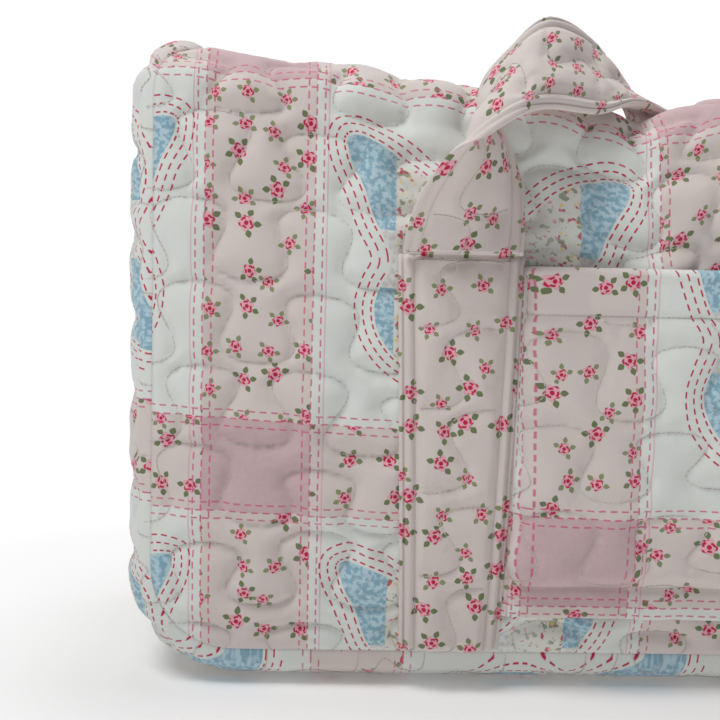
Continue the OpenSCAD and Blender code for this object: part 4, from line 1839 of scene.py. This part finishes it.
@dataclass
class Inside:
    """The loose lining.

    Args:
        shop: the shared materials.
        thick: its thickness.
        sides: places round each quarter of a ring.
        rings: height, half width, half depth and corner radius, from the floor to the mouth.
    """

    shop: Workshop
    thick: float = 1.5
    sides: int = 30
    rings: tuple[tuple[float, ...], ...] = (
        (12.5, 198, 64, 34), (22, 214, 74, 34), (40, 228, 81, 34), (66, 240, 84, 34),
        (215, 240, 84, 34), (235, 234, 78, 30), (250, 220, 62, 20), (258.2, 215, 50, 8))

    def ring(self, z: float, x: float, y: float, r: float) -> Grid:
        """Draws one ring of the lining.

        Args:
            z: its height.
            x: its half width.
            y: its half depth.
            r: its corner radius.

        Returns:
            Places round the ring.
        """
        points = []
        for quarter in range(4):
            cx = (x - r) * (1 if quarter in (0, 3) else -1)
            cy = (y - r) * (1 if quarter < 2 else -1)
            for i in range(self.sides):
                a = math.radians(90 * (quarter + i / (self.sides - 1)))
                points.append((cx + r * math.cos(a), cy + r * math.sin(a), z))
        return np.array(points)

    def build(self) -> None:
        """Makes the lining with soft folds."""
        rows = smooth_rows(np.array(self.rings, float), 7)
        outer = np.array([self.ring(*row) for row in rows])
        away = unit_rows(outer * (1, 1, 0))
        girth = np.arange(outer.shape[1]) * 9.0
        flat = np.stack([girth[None, :] + 0 * rows[:, :1], rows[:, :1] + 0 * girth[None, :]], -1)
        free = ease((rows[:, :1] - 20) / 30) * ease((250 - rows[:, :1]) / 30)
        fold = 1.2 * wrinkles(flat, 131, 14, 40, 120) * free
        outer = outer - away * np.abs(fold)[..., None]
        inner = outer - away * self.thick
        inner[0, :, 2] += self.thick
        rings = np.concatenate([outer, inner[::-1]])
        n = outer.shape[1]
        faces = []
        for i in range(len(rings) - 1):
            faces += [(i * n + j, i * n + (j + 1) % n, (i + 1) * n + (j + 1) % n, (i + 1) * n + j)
                      for j in range(n)]
        last = (len(rings) - 1) * n
        faces.append(tuple(range(n - 1, -1, -1)))
        faces.append(tuple(range(last, last + n)))
        both = np.concatenate([flat, flat[::-1]]).reshape(-1, 2)
        made = make_piece("cloth_lining", rings.reshape(-1, 3), faces, {"flat_mm": both},
                          self.shop.cloth[Finish.LINING])
        settle(made, "bag", Finish.LINING, "lining")


def smooth_rows(rows: Grid, steps: int) -> Grid:
    """Adds rows between rows of numbers, in straight steps.

    Args:
        rows: the rows.
        steps: steps from each row to the next.

    Returns:
        The longer array.
    """
    t = np.linspace(0, len(rows) - 1, (len(rows) - 1) * steps + 1)
    return np.stack([np.interp(t, np.arange(len(rows)), rows[:, k]) for k in range(rows.shape[1])], -1)


@dataclass(frozen=True)
class Studio:
    """A pale floor, soft light and the camera.

    Args:
        eye: camera position in millimetres.
        yaw, pitch, roll: camera angles in degrees.
        lens_mm: focal length for a sensor 36 mm wide.
        fill: strength of the white light from all round.
        glow: strength of the white that the camera sees behind and beside the bag.
    """

    eye: tuple[float, float, float] = (-160.0, -715.0, 232.0)
    yaw: float = 1.65
    pitch: float = -5.2
    roll: float = 1.3
    lens_mm: float = 60.0
    fill: float = 0.19
    glow: float = 1.02

    def build(self) -> None:
        """Sets the floor, the light and the camera."""
        bpy.context.scene.view_settings.view_transform = "Standard"
        self.floor()
        self.light()
        self.camera()

    def floor(self) -> None:
        """Lays a floor that takes the bag's shadow and glows white away from it."""
        mesh = bpy.data.meshes.new("floor")
        mesh.from_pydata([(-4, -4, 0), (4, -4, 0), (4, 4, 0), (-4, 4, 0)], [], [(0, 1, 2, 3)])
        floor = bpy.data.objects.new("floor", mesh)
        bpy.context.scene.collection.objects.link(floor)
        pale = bpy.data.materials.new("floor")
        pale.use_nodes = True
        skin = pale.node_tree.nodes["Principled BSDF"]
        net = Net(pale.node_tree)
        x, y = net.split(Wire(net, net.node("ShaderNodeTexCoord").outputs["Object"]))
        out_x = net.math("MAXIMUM", net.math("ABSOLUTE", x) - 0.26, 0.0)
        out_y = net.math("MAXIMUM", net.math("ABSOLUTE", y) - 0.10, 0.0)
        near = net.below(net.math("SQRT", out_x * out_x + out_y * out_y), 0.13, 0.2)
        net.feed(skin.inputs["Base Color"], net.mix(near, grey(0.0), grey(0.9)))
        net.feed(skin.inputs["Emission Color"], net.mix(near, grey(1.0), grey(0.12)))
        skin.inputs["Emission Strength"].default_value = self.glow
        skin.inputs["Roughness"].default_value = 0.9
        skin.inputs["Specular IOR Level"].default_value = 0.0
        mesh.materials.append(pale)

    def light(self) -> None:
        """Sets white light from all round, a key lamp and a top lamp."""
        world = bpy.data.worlds.new("studio")
        bpy.context.scene.world = world
        world.use_nodes = True
        net = Net(world.node_tree)
        back = world.node_tree.nodes["Background"]
        back.inputs["Color"].default_value = grey(1.0)
        seen = Wire(net, net.node("ShaderNodeLightPath").outputs["Is Camera Ray"])
        net.feed(back.inputs["Strength"], seen * (self.glow - self.fill) + self.fill)
        lamps = (("key", 18.0, 0.7, (-0.75, -0.7, 1.75)), ("top", 10.5, 1.0, (0.1, 0.35, 1.7)))
        for name, power, size, place in lamps:
            lamp = bpy.data.lights.new(name, "AREA")
            lamp.energy = power
            lamp.size = size
            holder = bpy.data.objects.new(name, lamp)
            holder.location = place
            aim = Vector((0, 0, 0.15)) - Vector(place)
            holder.rotation_euler = aim.to_track_quat("-Z", "Y").to_euler()
            bpy.context.scene.collection.objects.link(holder)

    def camera(self) -> None:
        """Sets the camera."""
        lens = bpy.data.cameras.new("camera")
        lens.sensor_width = 36
        lens.lens = self.lens_mm
        camera = bpy.data.objects.new("camera", lens)
        yaw, pitch, roll = (math.radians(a) for a in (self.yaw, self.pitch, self.roll))
        ahead = Vector((math.sin(yaw) * math.cos(pitch), math.cos(yaw) * math.cos(pitch), math.sin(pitch)))
        turn = ahead.to_track_quat("-Z", "Y").to_matrix().to_4x4()
        place = Matrix.Translation(Vector(self.eye) * MM)
        camera.matrix_world = place @ turn @ Matrix.Rotation(roll, 4, "Z")
        bpy.context.scene.collection.objects.link(camera)
        bpy.context.scene.camera = camera


def paint_frame(shop: Workshop) -> None:
    """Gives the CAD nodes that stay their finishes.

    Args:
        shop: the shared materials.
    """
    kept = {"zip_slider": Finish.METAL, "zip_pull": Finish.METAL, "zip_stops": Finish.METAL,
            "base_board": Finish.BOARD}
    for node, finish in kept.items():
        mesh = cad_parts[node].data
        mesh.materials.clear()
        mesh.materials.append(shop.cloth[finish])


def main() -> None:
    """Builds the looks of the whole bag."""
    logging.basicConfig(level=logging.INFO, format="%(name)s %(message)s")
    finishes = {
        Finish.PRINT: Cotton("patchwork_cotton", motif=Motif.PATCHWORK).make(),
        Finish.FLORAL: Cotton("floral_cotton", motif=Motif.ROSES).make(),
        Finish.PINK: Cotton("pink_cotton", PINK_GROUND).make(),
        Finish.LINING: Cotton("lining_cotton", CREAM).make(),
        Finish.TAPE: Cotton("zip_tape", THREAD, roughness=0.7).make(),
        Finish.COIL: Hard("nylon_coil", linear(0.88, 0.86, 0.85), 0.0, 0.35).make(),
        Finish.METAL: Hard("nickel", linear(0.80, 0.80, 0.81), 1.0, 0.3).make(),
        Finish.BOARD: Hard("board_sheet", linear(0.33, 0.33, 0.34), 0.0, 0.6).make(),
    }
    shop = Workshop(finishes, Cotton("pale_thread", THREAD, roughness=0.6).make())
    Shell(shop).build()
    Pocket(shop).build()
    Straps(shop).build()
    Handles(shop).build()
    Mouth(shop).build()
    Inside(shop).build()
    paint_frame(shop)
    Studio().build()


if __name__ == "__main__":
    main()
